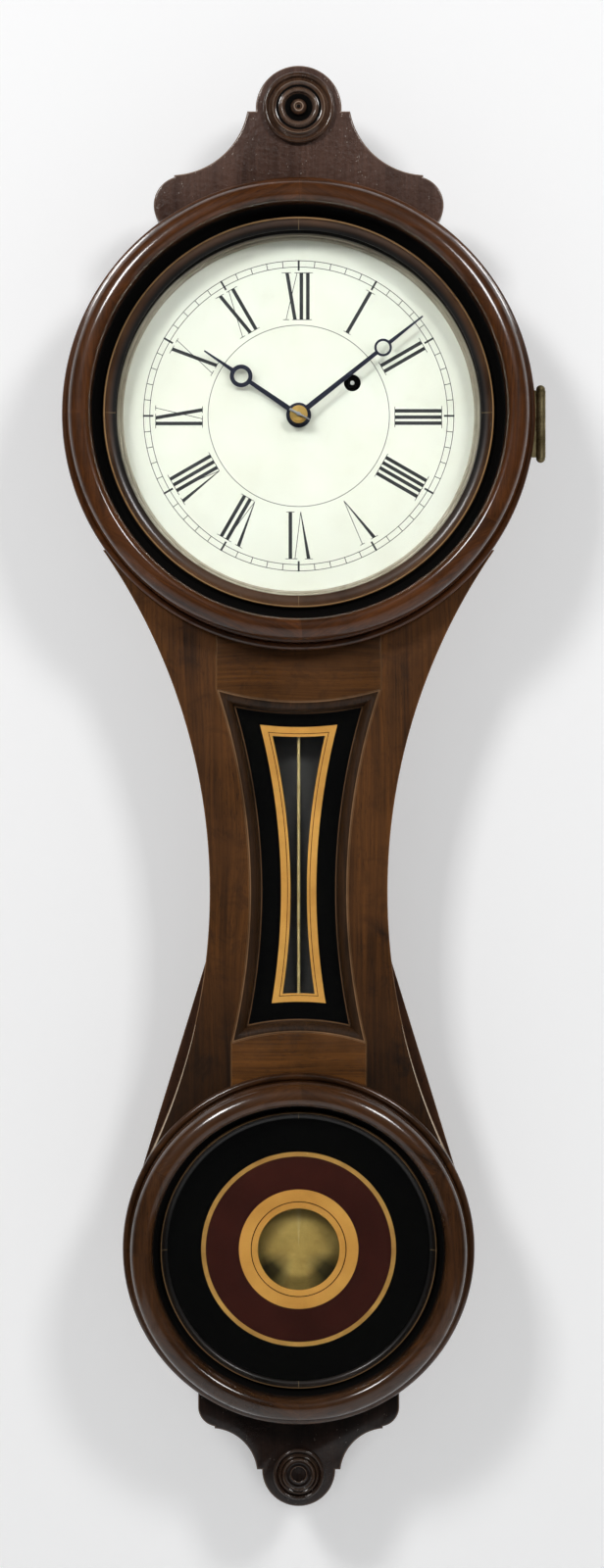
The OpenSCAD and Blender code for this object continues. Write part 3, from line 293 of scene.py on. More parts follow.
# How bare an eased arris is worn at each of its steps
WORN_STEPS = np.sin(np.linspace(0, math.pi, 5))


def slab(name, outline, back, front, ease, back_ease=0.3, grain="up", seed=0.0):
    """A board of the case cut to an outline, both arrises eased by a quarter circle: the wall's rings step
    out from the back and in to the front, and a flat face closes each end."""
    gap = np.linalg.norm(outline - np.roll(outline, 1, axis=0), axis=1)
    outline = counter_clockwise(outline[gap > 1e-4])
    steps = np.concatenate([eased(back_ease, -back)[::-1] * (1, -1), eased(ease, front)])
    points = np.concatenate([at_depth(inset(outline, distance), forward) for distance, forward in steps])
    count = len(outline)
    faces = grid_faces(len(steps), count, False, True, turn=True) + end_faces(len(points), count)
    order = {"up": (1, 0, 2), "across": (0, 1, 2)}[grain]
    mask = np.repeat(np.concatenate([np.zeros(5), WORN_STEPS]), count)
    return make(name, points, faces, "case", points[:, order] + seed, arris=mask)


class Bench:
    """Puts nodes into one node tree, links them and hands back what they put out. A colour of three numbers is
    one for paint()."""

    def __init__(self, tree):
        self.tree = tree

    def put(self, kind, ins=(), **settings):
        made = self.tree.nodes.new("ShaderNode" + kind)
        for key, value in settings.items():
            setattr(made, key, value)
        for key, value in dict(ins).items():
            self.feed(made.inputs[key], value)
        return made.outputs

    def feed(self, socket, value):
        if isinstance(value, bpy.types.NodeSocket):
            self.tree.links.new(value, socket)
        elif socket.type == "RGBA" and len(value) == 3:
            socket.default_value = paint(*value)
        else:
            socket.default_value = value

    def calc(self, operation, *values, clamp=False):
        return self.put("Math", dict(enumerate(values)), operation=operation, use_clamp=clamp)[0]

    def times(self, product, *values):
        for value in values:
            product = self.calc("MULTIPLY", product, value)
        return product

    def plus(self, a, b):
        return self.calc("ADD", a, b)

    def most(self, a, b):
        return self.calc("MAXIMUM", a, b)

    def blend(self, share, a, b):
        """Colour a where the share is 0, colour b where it is 1."""
        return self.put("Mix", {0: share, 6: a, 7: b}, data_type="RGBA", clamp_factor=True)[2]

    def over(self, colour, mask, share, other):
        """The colour with the other laid over it where the mask is, at a share of its strength."""
        return self.blend(self.times(mask, share), colour, other)

    def spread(self, value, low, high, to_low=0.0, to_high=1.0):
        """From to_low to to_high as the value goes from low to high."""
        return self.put("MapRange", {"Value": value, "From Min": low, "From Max": high,
                                     "To Min": to_low, "To Max": to_high})[0]

    def between(self, mask, low, high):
        """From low to high as the mask goes from 0 to 1."""
        return self.spread(mask, 0.0, 1.0, low, high)

    def stretch(self, vector, scale):
        return self.put("Mapping", {"Vector": vector, "Scale": scale})[0]

    def noise(self, vector, scale, detail, rough=0.5, warp=0.0):
        return self.put("TexNoise", {"Vector": vector, "Scale": scale, "Detail": detail,
                                     "Roughness": rough, "Distortion": warp})[0]

    def group(self, tree, **ins):
        return self.put("Group", ins, node_tree=tree)


def effect(name, ins, outs):
    """A shader node group with its inputs and outputs by name: v for a vector, c a colour, f a number."""
    tree = bpy.data.node_groups.new(name, "ShaderNodeTree")
    kinds = {"v": "NodeSocketVector", "c": "NodeSocketColor", "f": "NodeSocketFloat"}
    for way, sockets in (("INPUT", ins), ("OUTPUT", outs)):
        for label, kind in sockets.items():
            tree.interface.new_socket(label, in_out=way, socket_type=kinds[kind])
    return tree, Bench(tree), tree.nodes.new("NodeGroupInput").outputs, tree.nodes.new("NodeGroupOutput").inputs


def paint(red, green, blue):
    """A colour given from 0 to 255 as the eye sees it, in the renderer's own linear values."""
    seen = np.array([red, green, blue]) / 255.0
    linear = np.where(seen <= 0.04045, seen / 12.92, ((seen + 0.055) / 1.055) ** 2.4)
    return (*linear.tolist(), 1.0)


# Grain of sawn walnut: slow figure and fine streaks along the first coordinate, with short open pores
grain_fx, b, i, o = effect("walnut_grain", dict(Vector="v", Dark="c", Body="c", Light="c"),
                           dict(Color="c", Height="f"))
wander = b.noise(b.stretch(i["Vector"], (4.0, 14.0, 14.0)), 1.0, 2.0)
shift = b.put("CombineXYZ", {"Y": b.spread(wander, 0.3, 0.7, -0.006, 0.006)})[0]
bent = b.put("VectorMath", {0: i["Vector"], 1: shift}, operation="ADD")[0]
figure = b.noise(b.stretch(bent, (3.0, 75.0, 75.0)), 1.0, 3.0, 0.55, 0.6)
streak = b.noise(b.stretch(bent, (16.0, 700.0, 700.0)), 1.0, 4.0, 0.6)
pore = b.spread(b.noise(b.stretch(bent, (170.0, 2600.0, 2600.0)), 1.0, 1.0), 0.63, 0.72)
wide = b.spread(figure, 0.32, 0.68)
fine = b.spread(streak, 0.3, 0.7)
colour = b.blend(wide, i["Dark"], i["Body"])
colour = b.over(colour, fine, b.between(wide, 0.25, 0.75), i["Light"])
b.feed(o["Color"], b.over(colour, pore, 0.7, i["Dark"]))
b.feed(o["Height"], b.calc("SUBTRACT", b.times(fine, 0.35), pore))

# Old hand-rubbed finish: cloudy wear, dark smudges, small dust specks and a fine ripple, as masks
age_fx, b, i, o = effect("old_polish", dict(Vector="v", Scale="f"),
                         dict(Cloud="f", Smudge="f", Speck="f", Ripple="f"))
sized = b.put("VectorMath", {0: i["Vector"], "Scale": i["Scale"]}, operation="SCALE")[0]
b.feed(o["Cloud"], b.spread(b.noise(sized, 22.0, 4.0, 0.6), 0.34, 0.66))
b.feed(o["Smudge"], b.spread(b.noise(sized, 60.0, 5.0, 0.65, 0.8), 0.52, 0.74))
dots = b.put("TexVoronoi", {"Vector": sized, "Scale": 650.0, "Randomness": 1.0})
keep = b.calc("GREATER_THAN", b.noise(sized, 240.0, 2.0), 0.62)
b.feed(o["Speck"], b.times(b.calc("LESS_THAN", dots["Distance"], 0.2), keep))
b.feed(o["Ripple"], b.noise(sized, 300.0, 4.0, 0.55))

# Metal that has been handled: tarnish clouds and hairline scratches, as masks
metal_fx, b, i, o = effect("old_metal", dict(Vector="v"), dict(Tarnish="f", Scratch="f"))
b.feed(o["Tarnish"], b.spread(b.noise(i["Vector"], 90.0, 5.0, 0.62, 0.4), 0.35, 0.7))
b.feed(o["Scratch"], b.spread(b.noise(b.stretch(i["Vector"], (60.0, 60.0, 2400.0)), 1.0, 2.0), 0.52, 0.62))

# Distance from an axis along the depth, in millimetres, and the bearing round it in degrees
round_fx, b, i, o = effect("about_axis", dict(Vector="v", X="f", Z="f"), dict(Radius="f", Bearing="f"))
parts = b.put("SeparateXYZ", {0: i["Vector"]})
dx = b.calc("SUBTRACT", parts[0], i["X"])
dz = b.calc("SUBTRACT", parts[2], i["Z"])
b.feed(o["Radius"], b.times(b.calc("SQRT", b.plus(b.times(dx, dx), b.times(dz, dz))), 1000.0))
b.feed(o["Bearing"], b.times(b.calc("ARCTAN2", dz, dx), 180.0 / math.pi))

# A mask that is one from Low to High and falls off over Soft on both sides
band_fx, b, i, o = effect("band", dict(Value="f", Low="f", High="f", Soft="f"), dict(Mask="f"))
rise = b.calc("DIVIDE", b.calc("SUBTRACT", i["Value"], i["Low"]), i["Soft"], clamp=True)
fall = b.calc("DIVIDE", b.calc("SUBTRACT", i["High"], i["Value"]), i["Soft"], clamp=True)
b.feed(o["Mask"], b.times(rise, fall))


class Look(Bench):
    """One material, under its name in looks: a Principled shader fed from the shared effects, which are laid
    out on the piece's own Object coordinates. With a scale, the masks of the old polish come at that size."""

    def __init__(self, name, values, scale=None):
        made = looks[name] = bpy.data.materials.new(name)
        made.use_nodes = True
        super().__init__(made.node_tree)
        self.shader = self.tree.nodes["Principled BSDF"]
        for key, value in values.items():
            self.shader.inputs[key].default_value = value
        self.spot = self.put("TexCoord")["Object"]
        if scale:
            self.cloud, self.smudge, self.speck, self.ripple = self.group(age_fx, Vector=self.spot, Scale=scale)

    def about(self, z, x=0.0):
        """The radius in millimetres and the bearing in degrees about an axis along the depth."""
        return self.group(round_fx, Vector=self.spot, X=x, Z=z)

    def band(self, value, low, high, soft):
        return self.group(band_fx, Value=value, Low=low, High=high, Soft=soft)["Mask"]

    def turn(self, bearing, start, half):
        """Degrees to and fro: up from 0 to the half and back down again, counted from the start."""
        return self.calc("PINGPONG", self.plus(bearing, start), half)

    def off(self, turn, r):
        """The distance in millimetres that a turn in degrees makes at a radius."""
        return self.times(turn, math.pi / 180.0, r)

    def through(self, share, clear):
        """Lets a clear shader in by a share, between the Principled shader and the output."""
        mixed = self.put("MixShader", {0: share, 1: self.shader.outputs[0], 2: clear})[0]
        self.feed(self.tree.nodes["Material Output"].inputs["Surface"], mixed)

    def finish(self, colour, rough, relief=None, strength=0.3, depth=0.0001):
        """Feeds the colour, the roughness and the relief, its depth in metres. A pair of roughnesses lies
        between the ripple's lows and highs."""
        if isinstance(rough, tuple):
            rough = self.spread(self.ripple, 0.3, 0.7, *rough)
        self.feed(self.shader.inputs["Base Color"], colour)
        self.feed(self.shader.inputs["Roughness"], rough)
        if relief is not None:
            bump = self.put("Bump", {"Height": relief, "Strength": strength, "Distance": depth})
            self.feed(self.shader.inputs["Normal"], bump[0])


def walnut(name, dark, body, light, worn, polish=0.3, coat=0.5, along="grain", smudge=0.55, speck=0.0,
           ripple=0.1, wear=0.7, hollow=None, ring_shade=None):
    """Walnut under old varnish: grain by attribute or up the piece, smudged, with light worn arrises. A turned
    piece's hollows get painted shade, near black: (height of its axis in metres, low radius in mm, high radius,
    and so on). Painted shade near a ring, given the same way, fades out from the low radius to the high one."""
    b = Look(name, {"Coat Roughness": 0.12, "Specular IOR Level": 0.15}, 1.0)
    if along == "grain":
        where = b.put("Attribute", attribute_name="grain")["Vector"]
    else:
        where = b.put("Mapping", {"Vector": b.spot, "Rotation": (0.0, math.radians(90), 0.0)})[0]
    wood = b.group(grain_fx, Vector=where, Dark=dark, Body=body, Light=light)
    colour = b.over(wood["Color"], b.smudge, smudge, dark)
    colour = b.over(colour, b.cloud, 0.3, light)
    # Painted shade near a ring: darkest at the low radius, gone by the high one
    if ring_shade:
        r, bearing = b.about(ring_shade[0])
        colour = b.blend(b.spread(r, ring_shade[1], ring_shade[2], 0.7, 0.0), colour, dark)
    arris = b.put("Attribute", attribute_name="arris")["Fac"]
    colour = b.over(colour, b.times(arris, b.between(b.cloud, 0.35, 1.0)), wear, worn)
    if speck:
        colour = b.over(colour, b.speck, speck, (170, 160, 150))
    rough = b.plus(b.between(b.cloud, polish, polish + 0.16), b.times(b.smudge, 0.12))
    shine = b.between(b.smudge, coat, coat * 0.45)
    # Painted shade: the hollows' bands are near black, matt and without coat
    if hollow:
        r, bearing = b.about(hollow[0])
        recess_shade = 0.0
        for low, high in zip(hollow[1::2], hollow[2::2]):
            recess_shade = b.most(recess_shade, b.band(r, low - 0.2, high, 0.5))
        colour = b.blend(recess_shade, colour, (5, 4, 3))
        rough = b.most(rough, recess_shade)
        shine = b.times(shine, b.calc("SUBTRACT", 1.0, recess_shade))
    b.feed(b.shader.inputs["Coat Weight"], shine)
    relief = b.plus(b.times(wood["Height"], 0.35), b.times(b.ripple, ripple * 10))
    b.finish(colour, rough, relief, 0.35, 0.0003)


# The hollow bands below paint shade into the rings' recesses and the rosette's grooves
walnut("roll_walnut", (22, 12, 6), (68, 37, 15), (116, 65, 25), (150, 96, 52), coat=0.85, smudge=0.5,
       hollow=(HEAD_Z, 116.7, 123.5))
walnut("rail_walnut", (28, 17, 9), (74, 45, 20), (114, 71, 31), (160, 118, 78), 0.34, 0.35, smudge=0.7)
walnut("low_rail_walnut", (34, 20, 10), (98, 60, 26), (138, 86, 36), (160, 118, 78), 0.34, 0.35, smudge=0.5)
# The stiles get painted shade near the lower ring
walnut("stile_walnut", (22, 14, 8), (70, 43, 19), (118, 71, 28), (160, 118, 78), 0.4, 0.25, smudge=0.85,
       ring_shade=(FOOT_Z, 108.0, 200.0))
walnut("side_walnut", (24, 13, 7), (54, 31, 17), (82, 48, 25), (150, 118, 88), 0.42, 0.2)
walnut("moulding_walnut", (12, 8, 4), (42, 27, 14), (76, 48, 24), (172, 130, 92), 0.4, 0.2, wear=0.9)
walnut("bezel_walnut", (18, 10, 5), (54, 31, 15), (94, 57, 27), (150, 104, 60), 0.26, 0.95, smudge=0.45,
       hollow=(FOOT_Z, 82.6, 87.0))
walnut("crest_walnut", (46, 28, 21), (78, 54, 44), (104, 76, 64), (166, 142, 124), 0.26, 0.7, "up",
       speck=0.8, ripple=0.9)
walnut("rosette_walnut", (26, 15, 10), (66, 43, 30), (104, 74, 54), (196, 170, 148), 0.17, 1.0, "up",
       speck=0.5, ripple=0.3, wear=0.9,
       hollow=((CREST_Y - DIAL_DROP) / 1000, 0.0, 1.4, 4.6, 8.6, 12.0, 13.8, 17.6, 18.1, 20.2, 20.6))
walnut("pendant_walnut", (8, 5, 4), (24, 14, 10), (44, 28, 20), (120, 92, 70), 0.22, 0.7, "up",
       speck=0.3, ripple=0.3)
# Pale paint for the painted highlight along the stiles' outer arrises
walnut("edge_highlight_pale", (176, 150, 122), (214, 194, 168), (236, 222, 202), (236, 222, 202), 0.5, 0.05, "up")
walnut("inner_walnut", (40, 27, 18), (84, 60, 40), (112, 84, 58), (130, 104, 78), 0.6, 0.05, "up")


def metal(name, bright, dull, rough, scratch=0.2, metallic=1.0, tip=0.0, shade_r=0.0):
    """Handled metal: tarnish clouds between a bright and a dull colour, hairlines in its roughness. Round the
    winding arbor it may be painted black as shade out to one radius and rubbed bright within another, in mm."""
    b = Look(name, {"Metallic": metallic})
    tarnish, scratches = b.group(metal_fx, Vector=b.spot)
    colour = b.blend(tarnish, bright, dull)
    if shade_r:
        # Painted shade round the winding arbor, where the dial's winding hole looks in
        r, bearing = b.about(KEY_AXIS[2], KEY_AXIS[0])
        colour = b.blend(b.spread(r, shade_r, shade_r + 0.8), (12, 10, 9), colour)
        if tip:
            colour = b.blend(b.spread(r, tip, tip + 0.2), (216, 216, 212), colour)
    rubbed = b.plus(b.between(tarnish, rough, rough + 0.2), b.times(scratches, scratch))
    b.finish(colour, rubbed, scratches, 0.15, 0.00005)


metal("key_brass", (214, 180, 106), (168, 130, 66), 0.3, tip=1.2, shade_r=7.0)
metal("front_brass", (200, 168, 98), (150, 118, 62), 0.34, shade_r=12.0)
metal("plate_brass", (200, 168, 98), (150, 118, 62), 0.34)
metal("brass", (214, 180, 106), (168, 130, 66), 0.26)
metal("hinge_brass", (150, 138, 104), (96, 84, 56), 0.42)
metal("steel", (176, 178, 182), (128, 130, 134), 0.3)
metal("blued_steel", (60, 62, 78), (34, 35, 46), 0.28, scratch=0.1)
metal("cast_iron", (70, 71, 74), (44, 44, 46), 0.55, metallic=0.6)
metal("cable_steel", (160, 158, 150), (110, 106, 96), 0.4)
metal("gilt_rod", (206, 184, 130), (176, 150, 94), 0.4, metallic=0.5)


def slate_finish():
    """Painted board: two close greys mottled together over a faint tooth."""
    b = Look("slate_board", {"Specular IOR Level": 0.3}, 1.0)
    colour = b.blend(b.cloud, (76, 74, 73), (64, 62, 61))
    b.finish(b.over(colour, b.smudge, 0.3, (64, 62, 61)), (0.6, 0.8), b.ripple)


def ring_board():
    """The ring round the dial: pale card on its inner edge, with painted shade, nearly black, under the door's
    bead.
    """
    b = Look("grey_board", {"Specular IOR Level": 0.2}, 1.0)
    pale = b.blend(b.cloud, (176, 168, 152), (150, 140, 122))
    pale = b.over(pale, b.smudge, 0.4, (96, 82, 64))
    r, bearing = b.about(HEAD_Z)
    # Painted shade: nearly black beyond 109.5 mm, under the door's bead
    b.finish(b.blend(b.spread(r, 108.8, 109.5), pale, (26, 21, 16)), (0.6, 0.8), b.ripple)


def dial_finish():
    """White painted dial, slightly yellowed, with the minute track printed on it: three hairline circles,
    (radius, half width), then a tick at each minute and a heavy one at each fifth, (degrees from one to the
    next, low radius, high radius, half width)."""
    b = Look("dial_white", {"Specular IOR Level": 0.35, "Coat Weight": 0.1}, 1.0)
    r, bearing = b.about(HEAD_Z)
    lines = None
    for middle, half in ((93.4, 0.19), (89.6, 0.19), (54.6, 0.18)):
        ring = b.band(r, middle - half - 0.05, middle + half + 0.05, 0.07)
        lines = ring if lines is None else b.most(lines, ring)
    for step, low, high, half in ((6.0, 89.6, 93.4, 0.18), (30.0, 87.4, 93.8, 0.55)):
        gap = b.off(b.turn(bearing, 720.0, step / 2), r)
        tick = b.times(b.spread(gap, half, half + 0.08, 1.0, 0.0), b.band(r, low, high, 0.08))
        lines = b.most(lines, tick)
    ground = b.blend(b.cloud, (234, 235, 223), (228, 228, 214))
    ground = b.over(ground, b.smudge, 0.12, (196, 188, 164))
    ground = b.over(ground, b.speck, 0.25, (150, 140, 120))
    relief = b.plus(b.times(b.ripple, 0.4), lines)
    b.finish(b.blend(lines, ground, (34, 35, 38)), (0.36, 0.46), relief, 0.12)


def flat_paint(name, base, other, rough=(0.5, 0.62), gloss=0.0, scale=1.3):
    """Plain paint, on the back of glass or on the dial: deep and even, faintly mottled."""
    b = Look(name, {"Specular IOR Level": gloss}, scale)
    b.finish(b.blend(b.cloud, base, other), rough)


def gilt_finish(name, bright, dull, streaks):
    """Gold leaf or bronze paint seen through glass: bright and dull patches under the glass's shine."""
    b = Look(name, {"Metallic": 0.35, "Specular IOR Level": 0.4}, 1.6)
    colour = b.over(b.blend(b.cloud, bright, dull), b.smudge, streaks, (120, 82, 34))
    b.finish(colour, (0.38, 0.55), b.ripple, 0.2)


def glass_finish():
    """Thin old glass: clear, its faces very slightly uneven, and letting the lamps' rays through."""
    b = Look("clear_glass", {"IOR": 1.45, "Transmission Weight": 1.0, "Metallic": 0.0}, 0.5)
    clear = b.put("BsdfTransparent", {"Color": (0.93, 0.95, 0.94, 1.0)})[0]
    b.through(b.put("LightPath")["Is Shadow Ray"], clear)
    colour = b.blend(b.cloud, (244, 246, 245), (250, 251, 250))
    b.finish(colour, b.between(b.smudge, 0.0, 0.02), b.cloud, 0.05, 0.0002)


def bead_finish(name, z, low, high, dull, bright, crest_highlight):
    """Old gold-brown lacquer on a bead about an axis at the height: painted shade, black, by the glass but for
    the foot, which is painted lit, brown on the slope, a painted highlight along the crest, and a fine joint at
    each quarter."""
    b = Look(name, {"Coat Roughness": 0.16, "Specular IOR Level": 0.3, "Coat Weight": 0.35}, 1.0)
    r, bearing = b.about(z)
    # Painted light by bearing: the foot of the bead is left lit, the rest shaded near the glass
    lit_foot = b.spread(b.turn(bearing, 630.0, 180.0), 105.0, 160.0, 0.0, 0.85)
    unshaded = b.most(b.spread(r, low + 1.5, high - 1.5), lit_foot)
    colour = b.blend(unshaded, (12, 9, 7), b.blend(b.cloud, dull, bright))
    # Painted highlight along the crest
    crest = b.band(r, high - 0.6, high + 0.7, 0.3)
    colour = b.over(colour, crest, b.between(b.smudge, crest_highlight, 0.25), (166, 128, 82))
    turn = b.turn(bearing, 720.0, 45.0)
    joint = b.times(b.spread(b.off(turn, r), 0.12, 0.3, 1.0, 0.0), b.calc("LESS_THAN", turn, 5.0))
    colour = b.over(colour, joint, 0.5, (150, 126, 88))
    b.finish(colour, b.between(b.cloud, 0.34, 0.5), b.ripple)


def spun_brass():
    """Lathe-spun brass: rings of fine tool marks about the bob's middle, with a painted dark reflection in its
    lower corners and a painted highlight streak up from the middle."""
    b = Look("spun_brass", {"Metallic": 0.8})
    r, bearing = b.about(FOOT_Z)
    marks = b.noise(b.put("CombineXYZ", {"X": b.times(r, 3.2)})[0], 1.0, 4.0, 0.6)
    tarnish, scratches = b.group(metal_fx, Vector=b.spot)
    colour = b.blend(tarnish, (246, 212, 124), (218, 180, 98))
    colour = b.over(colour, b.spread(marks, 0.35, 0.65), 0.3, (140, 112, 58))
    # Painted dark reflection in the lower corners
    turn = b.turn(bearing, 630.0, 180.0)
    side = b.times(b.spread(turn, 100.0, 122.0), b.spread(turn, 140.0, 166.0, 1.0, 0.0), b.spread(r, 7.0, 19.0))
    colour = b.over(colour, side, 0.85, (46, 50, 34))
    # Painted highlight: a bright streak up from the middle
    streak = b.times(b.spread(turn, 0.0, 6.0, 1.0, 0.0), b.spread(r, 2.0, 20.0, 1.0, 0.4))
    colour = b.over(colour, streak, 0.5, (255, 240, 178))
    b.finish(colour, b.spread(marks, 0.35, 0.65, 0.3, 0.46), marks, 0.25, 0.00008)


slate_finish()
ring_board()
dial_finish()
flat_paint("numeral_black", (24, 25, 28), (40, 41, 44), (0.4, 0.55), 0.4, 2.0)
gilt_finish("gold_leaf", (212, 156, 74), (194, 138, 60), 0.12)
gilt_finish("gold_line", (196, 150, 76), (160, 116, 54), 0.3)
flat_paint("maroon_paint", (54, 24, 19), (44, 19, 15))
flat_paint("black_paint", (3, 3, 3), (5, 5, 4))
flat_paint("line_paint", (60, 26, 14), (44, 18, 10))
glass_finish()
spun_brass()
bead_finish("aged_bead", HEAD_Z, 109.2, 116.0, (62, 40, 24), (100, 68, 42), 1.0)
bead_finish("dark_bead", FOOT_Z, 78.4, 82.2, (14, 10, 7), (34, 23, 14), 0.6)


# The turned door and bezel, with their beads

def ring_section(out_r, roll_r, roll_w, bead_out, front):
    """Section of a door ring as one closed path: a flange bead, a quirk, a thin fillet, a roll that climbs in
    a quarter ellipse to its crest near the inside, a wall and a hollow, and the rebate that holds the glass."""
    fillet = 0.9
    flange = (out_r - roll_r - fillet) / 2
    roll_in, crest, height = roll_r - roll_w, roll_w * 0.36, roll_w * 0.5
    foot = front - height
    hollow = roll_in - bead_out - 0.5
    hollow_f = GLASS_FRONT + 0.6 + hollow
    base = DOOR_BACK + flange * 0.9
    return np.concatenate([
        [(bead_out - 2.8, DOOR_BACK), (out_r - 0.4, DOOR_BACK), (out_r, DOOR_BACK + 0.4)],
        arc((out_r - flange, base), flange, 0, 172, 20),
        [(roll_r + fillet, base - 0.4), (roll_r + fillet, foot - 0.6), (roll_r, foot - 0.4)],
        bend((roll_in + crest, foot), roll_w - crest, height, 0, 90, 26),
        arc((roll_in + crest, front - crest), crest, 95, 180, 18),
        line((roll_in - 0.04, front - crest - 0.2), (roll_in - 0.5, hollow_f + 0.2), 3),
        arc((bead_out + 0.05, hollow_f), hollow - 0.05, 0, -90, 12),
        [(bead_out + 0.05, GLASS_BACK), (bead_out - 2.4, GLASS_BACK), (bead_out - 2.8, GLASS_BACK - 0.4)],
    ])


def bead_section(sight_r, w, rise):
    """Section of a bead: a narrow crest at its outside and a hollow running down to the glass inside."""
    out_r, crest_f = sight_r + w, GLASS_FRONT + rise
    return np.concatenate([
        [(sight_r, GLASS_FRONT), (out_r, GLASS_FRONT), (out_r, crest_f - 0.9), (out_r - 0.5, crest_f)],
        bend((sight_r, crest_f), w - 1.3, 0.9 - rise, 0, 90, 16)])


def rim_section(r0, r1):
    """A square section, from the side's front to the panel's, its four arrises eased by quarter circles."""
    ease = 0.5
    inside, outside, back, front = r0 + ease, r1 - ease, SIDE_FRONT + ease, PANEL_FRONT - ease
    corners = (inside, back, 180), (outside, back, 270), (outside, front, 0), (inside, front, 90)
    return np.concatenate([arc((r, f), ease, start, start + 90, 4) for r, f, start in corners])


fit(turned("door_ring", "door", HEAD, ring_section(141.7, 136.6, 13.1, 116.7, DOOR_FRONT), 360, seed=11.0),
    "roll_walnut", "main_door")
fit(turned("door_bead", "door", HEAD, bead_section(109.2, 7.5, 4.2), 360),
    "aged_bead", "main_bead")
fit(turned("bezel_ring", "bezel", FOOT, ring_section(105.3, 100.0, 13.0, 82.6, BEZEL_FRONT), 320, seed=47.0),
    "bezel_walnut", "lower_bezel")
fit(turned("bezel_bead", "bezel", FOOT, bead_section(78.4, 4.2, 4.0), 320),
    "dark_bead", "lower_bead")
fit(turned("head_rim", "case", HEAD, rim_section(130.0, RIM_OUT_R)), "side_walnut", "upper_rim")
fit(turned("foot_rim", "case", FOOT, rim_section(92.8, LOWER_RIM_OUT_R)),
    "side_walnut", "lower_rim")

fit(turned("sight_ring", "case", HEAD, np.concatenate([
    [(106.8, DIAL_FRONT), (118.05, DIAL_FRONT), (118.05, SIDE_FRONT), (129.5, SIDE_FRONT)],
    [(129.5, 71.5), (108.1, 71.5)], arc((106.8, 69.0), 1.3, 60, 270, 14)]), 320),
    "grey_board", "dial_ring")


# The case: sides, panel, moulding and ornament

HEAD_DIR = WAIST / (WAIST_R + HEAD_R)
FOOT_DIR = (WAIST - FOOT) / (WAIST_R + FOOT_R)
HEAD_TOUCH_Y = HEAD_R * HEAD_DIR[1]
FOOT_TOUCH_Y = (FOOT + FOOT_R * FOOT_DIR)[1]


def across(centre, r, y, side):
    """The point of a circle at a height y, on the side given by the sign."""
    return np.array([centre[0] + side * math.sqrt(r * r - (y - centre[1]) ** 2), y])


def beside(centre, r, x, side):
    """The point of a circle at a place x, above or below the centre by the sign."""
    return np.array([x, centre[1] + side * math.sqrt(r * r - (x - centre[0]) ** 2)])


def eye(side_r, top_r, foot_r):
    """A closed outline of four arcs: two about the waist centres, one about each round window's centre."""
    high = meet(HEAD, top_r, WAIST, side_r, -1)
    low = meet(FOOT, foot_r, WAIST, side_r, 1)
    right = run(WAIST, side_r, low, high, 72)
    top = run(HEAD, top_r, high, high * (-1, 1), 24)[1:-1]
    foot = run(FOOT, foot_r, low * (-1, 1), low, 24)[1:-1]
    return np.concatenate([right, top, flip(right), foot])


def throat(d):
    """The throat's opening, drawn in by d all round."""
    return eye(WAIST_R + STILE_W + d, THROAT_TOP_R + d, THROAT_FOOT_R + d)


# The two right corners of the throat's opening, where the stile meets the rails
CORNER_TOP = meet(HEAD, THROAT_TOP_R, WAIST, WAIST_R + STILE_W, -1)
CORNER_LOW = meet(FOOT, THROAT_FOOT_R, WAIST, WAIST_R + STILE_W, 1)

# Circles, each a centre and a radius: the outsides of both rims, and the stile's outer edge
RIM = HEAD, RIM_OUT_R
LOW_RIM = FOOT, LOWER_RIM_OUT_R
CUT = WAIST, WAIST_R + WAIST_BITE


def stile_outline():
    """The right stile, from the rim down the joint, along the throat, and back up the waist curve."""
    return np.concatenate([
        run(*RIM, across(*RIM, HEAD_TOUCH_Y, 1), beside(*RIM, CORNER_TOP[0], -1), 40),
        run(WAIST, WAIST_R + STILE_W, CORNER_TOP, CORNER_LOW, 90),
        run(*LOW_RIM, beside(*LOW_RIM, CORNER_LOW[0], 1), across(*LOW_RIM, FOOT_TOUCH_Y, 1), 30),
        run(*CUT, across(*CUT, FOOT_TOUCH_Y, -1), across(*CUT, HEAD_TOUCH_Y, -1), 90)])


def rail_outline(rim, throat_r, corner, side):
    """A rail: the arc against the rim, and the arc that edges the throat, between the two joints."""
    near = beside(*rim, corner[0], side)
    return np.concatenate([run(*rim, near * (-1, 1), near, 40),
                           run(rim[0], throat_r, corner, corner * (-1, 1), 40)])


def edge_highlight(name, hand):
    """A painted highlight along a stile's outer arris above the lower ring, as a pale strip: two arcs about the
    waist's centre, one inside the other, that draw apart downwards. hand is 1 or -1."""
    r, count = CUT[1] + 0.35, 80
    near = run(WAIST, r, across(WAIST, r, -366.0, -1), across(WAIST, r, FOOT_TOUCH_Y, -1), count)
    far = near + (near - WAIST) / r * np.linspace(0.1, 1.0, count)[:, None]
    points = at_depth(np.concatenate([near, far]) * (hand, 1.0), PANEL_FRONT + COAT_T)
    dress(make(name, points, grid_faces(2, count, False, False, turn=hand < 0), "case"), "edge_highlight_pale")


fit(slab("stile_right_board", stile_outline(), SIDE_FRONT, PANEL_FRONT, 0.6, seed=31.0),
    "stile_walnut", "stile_right")
fit(slab("stile_left_board", flip(stile_outline()), SIDE_FRONT, PANEL_FRONT, 0.6, seed=173.0),
    "stile_walnut", "stile_left")
# Painted highlights along both stiles' outer arrises
edge_highlight("bare_edge_right", 1)
edge_highlight("bare_edge_left", -1)
fit(slab("top_rail_board", rail_outline(RIM, THROAT_TOP_R, CORNER_TOP, -1),
         SIDE_FRONT, PANEL_FRONT, 0.45, grain="across", seed=57.0), "rail_walnut", "top_rail")
fit(slab("bottom_rail_board", rail_outline(LOW_RIM, THROAT_FOOT_R, CORNER_LOW, 1),
         SIDE_FRONT, PANEL_FRONT, 0.45, grain="across", seed=211.0),
    "low_rail_walnut", "bottom_rail")


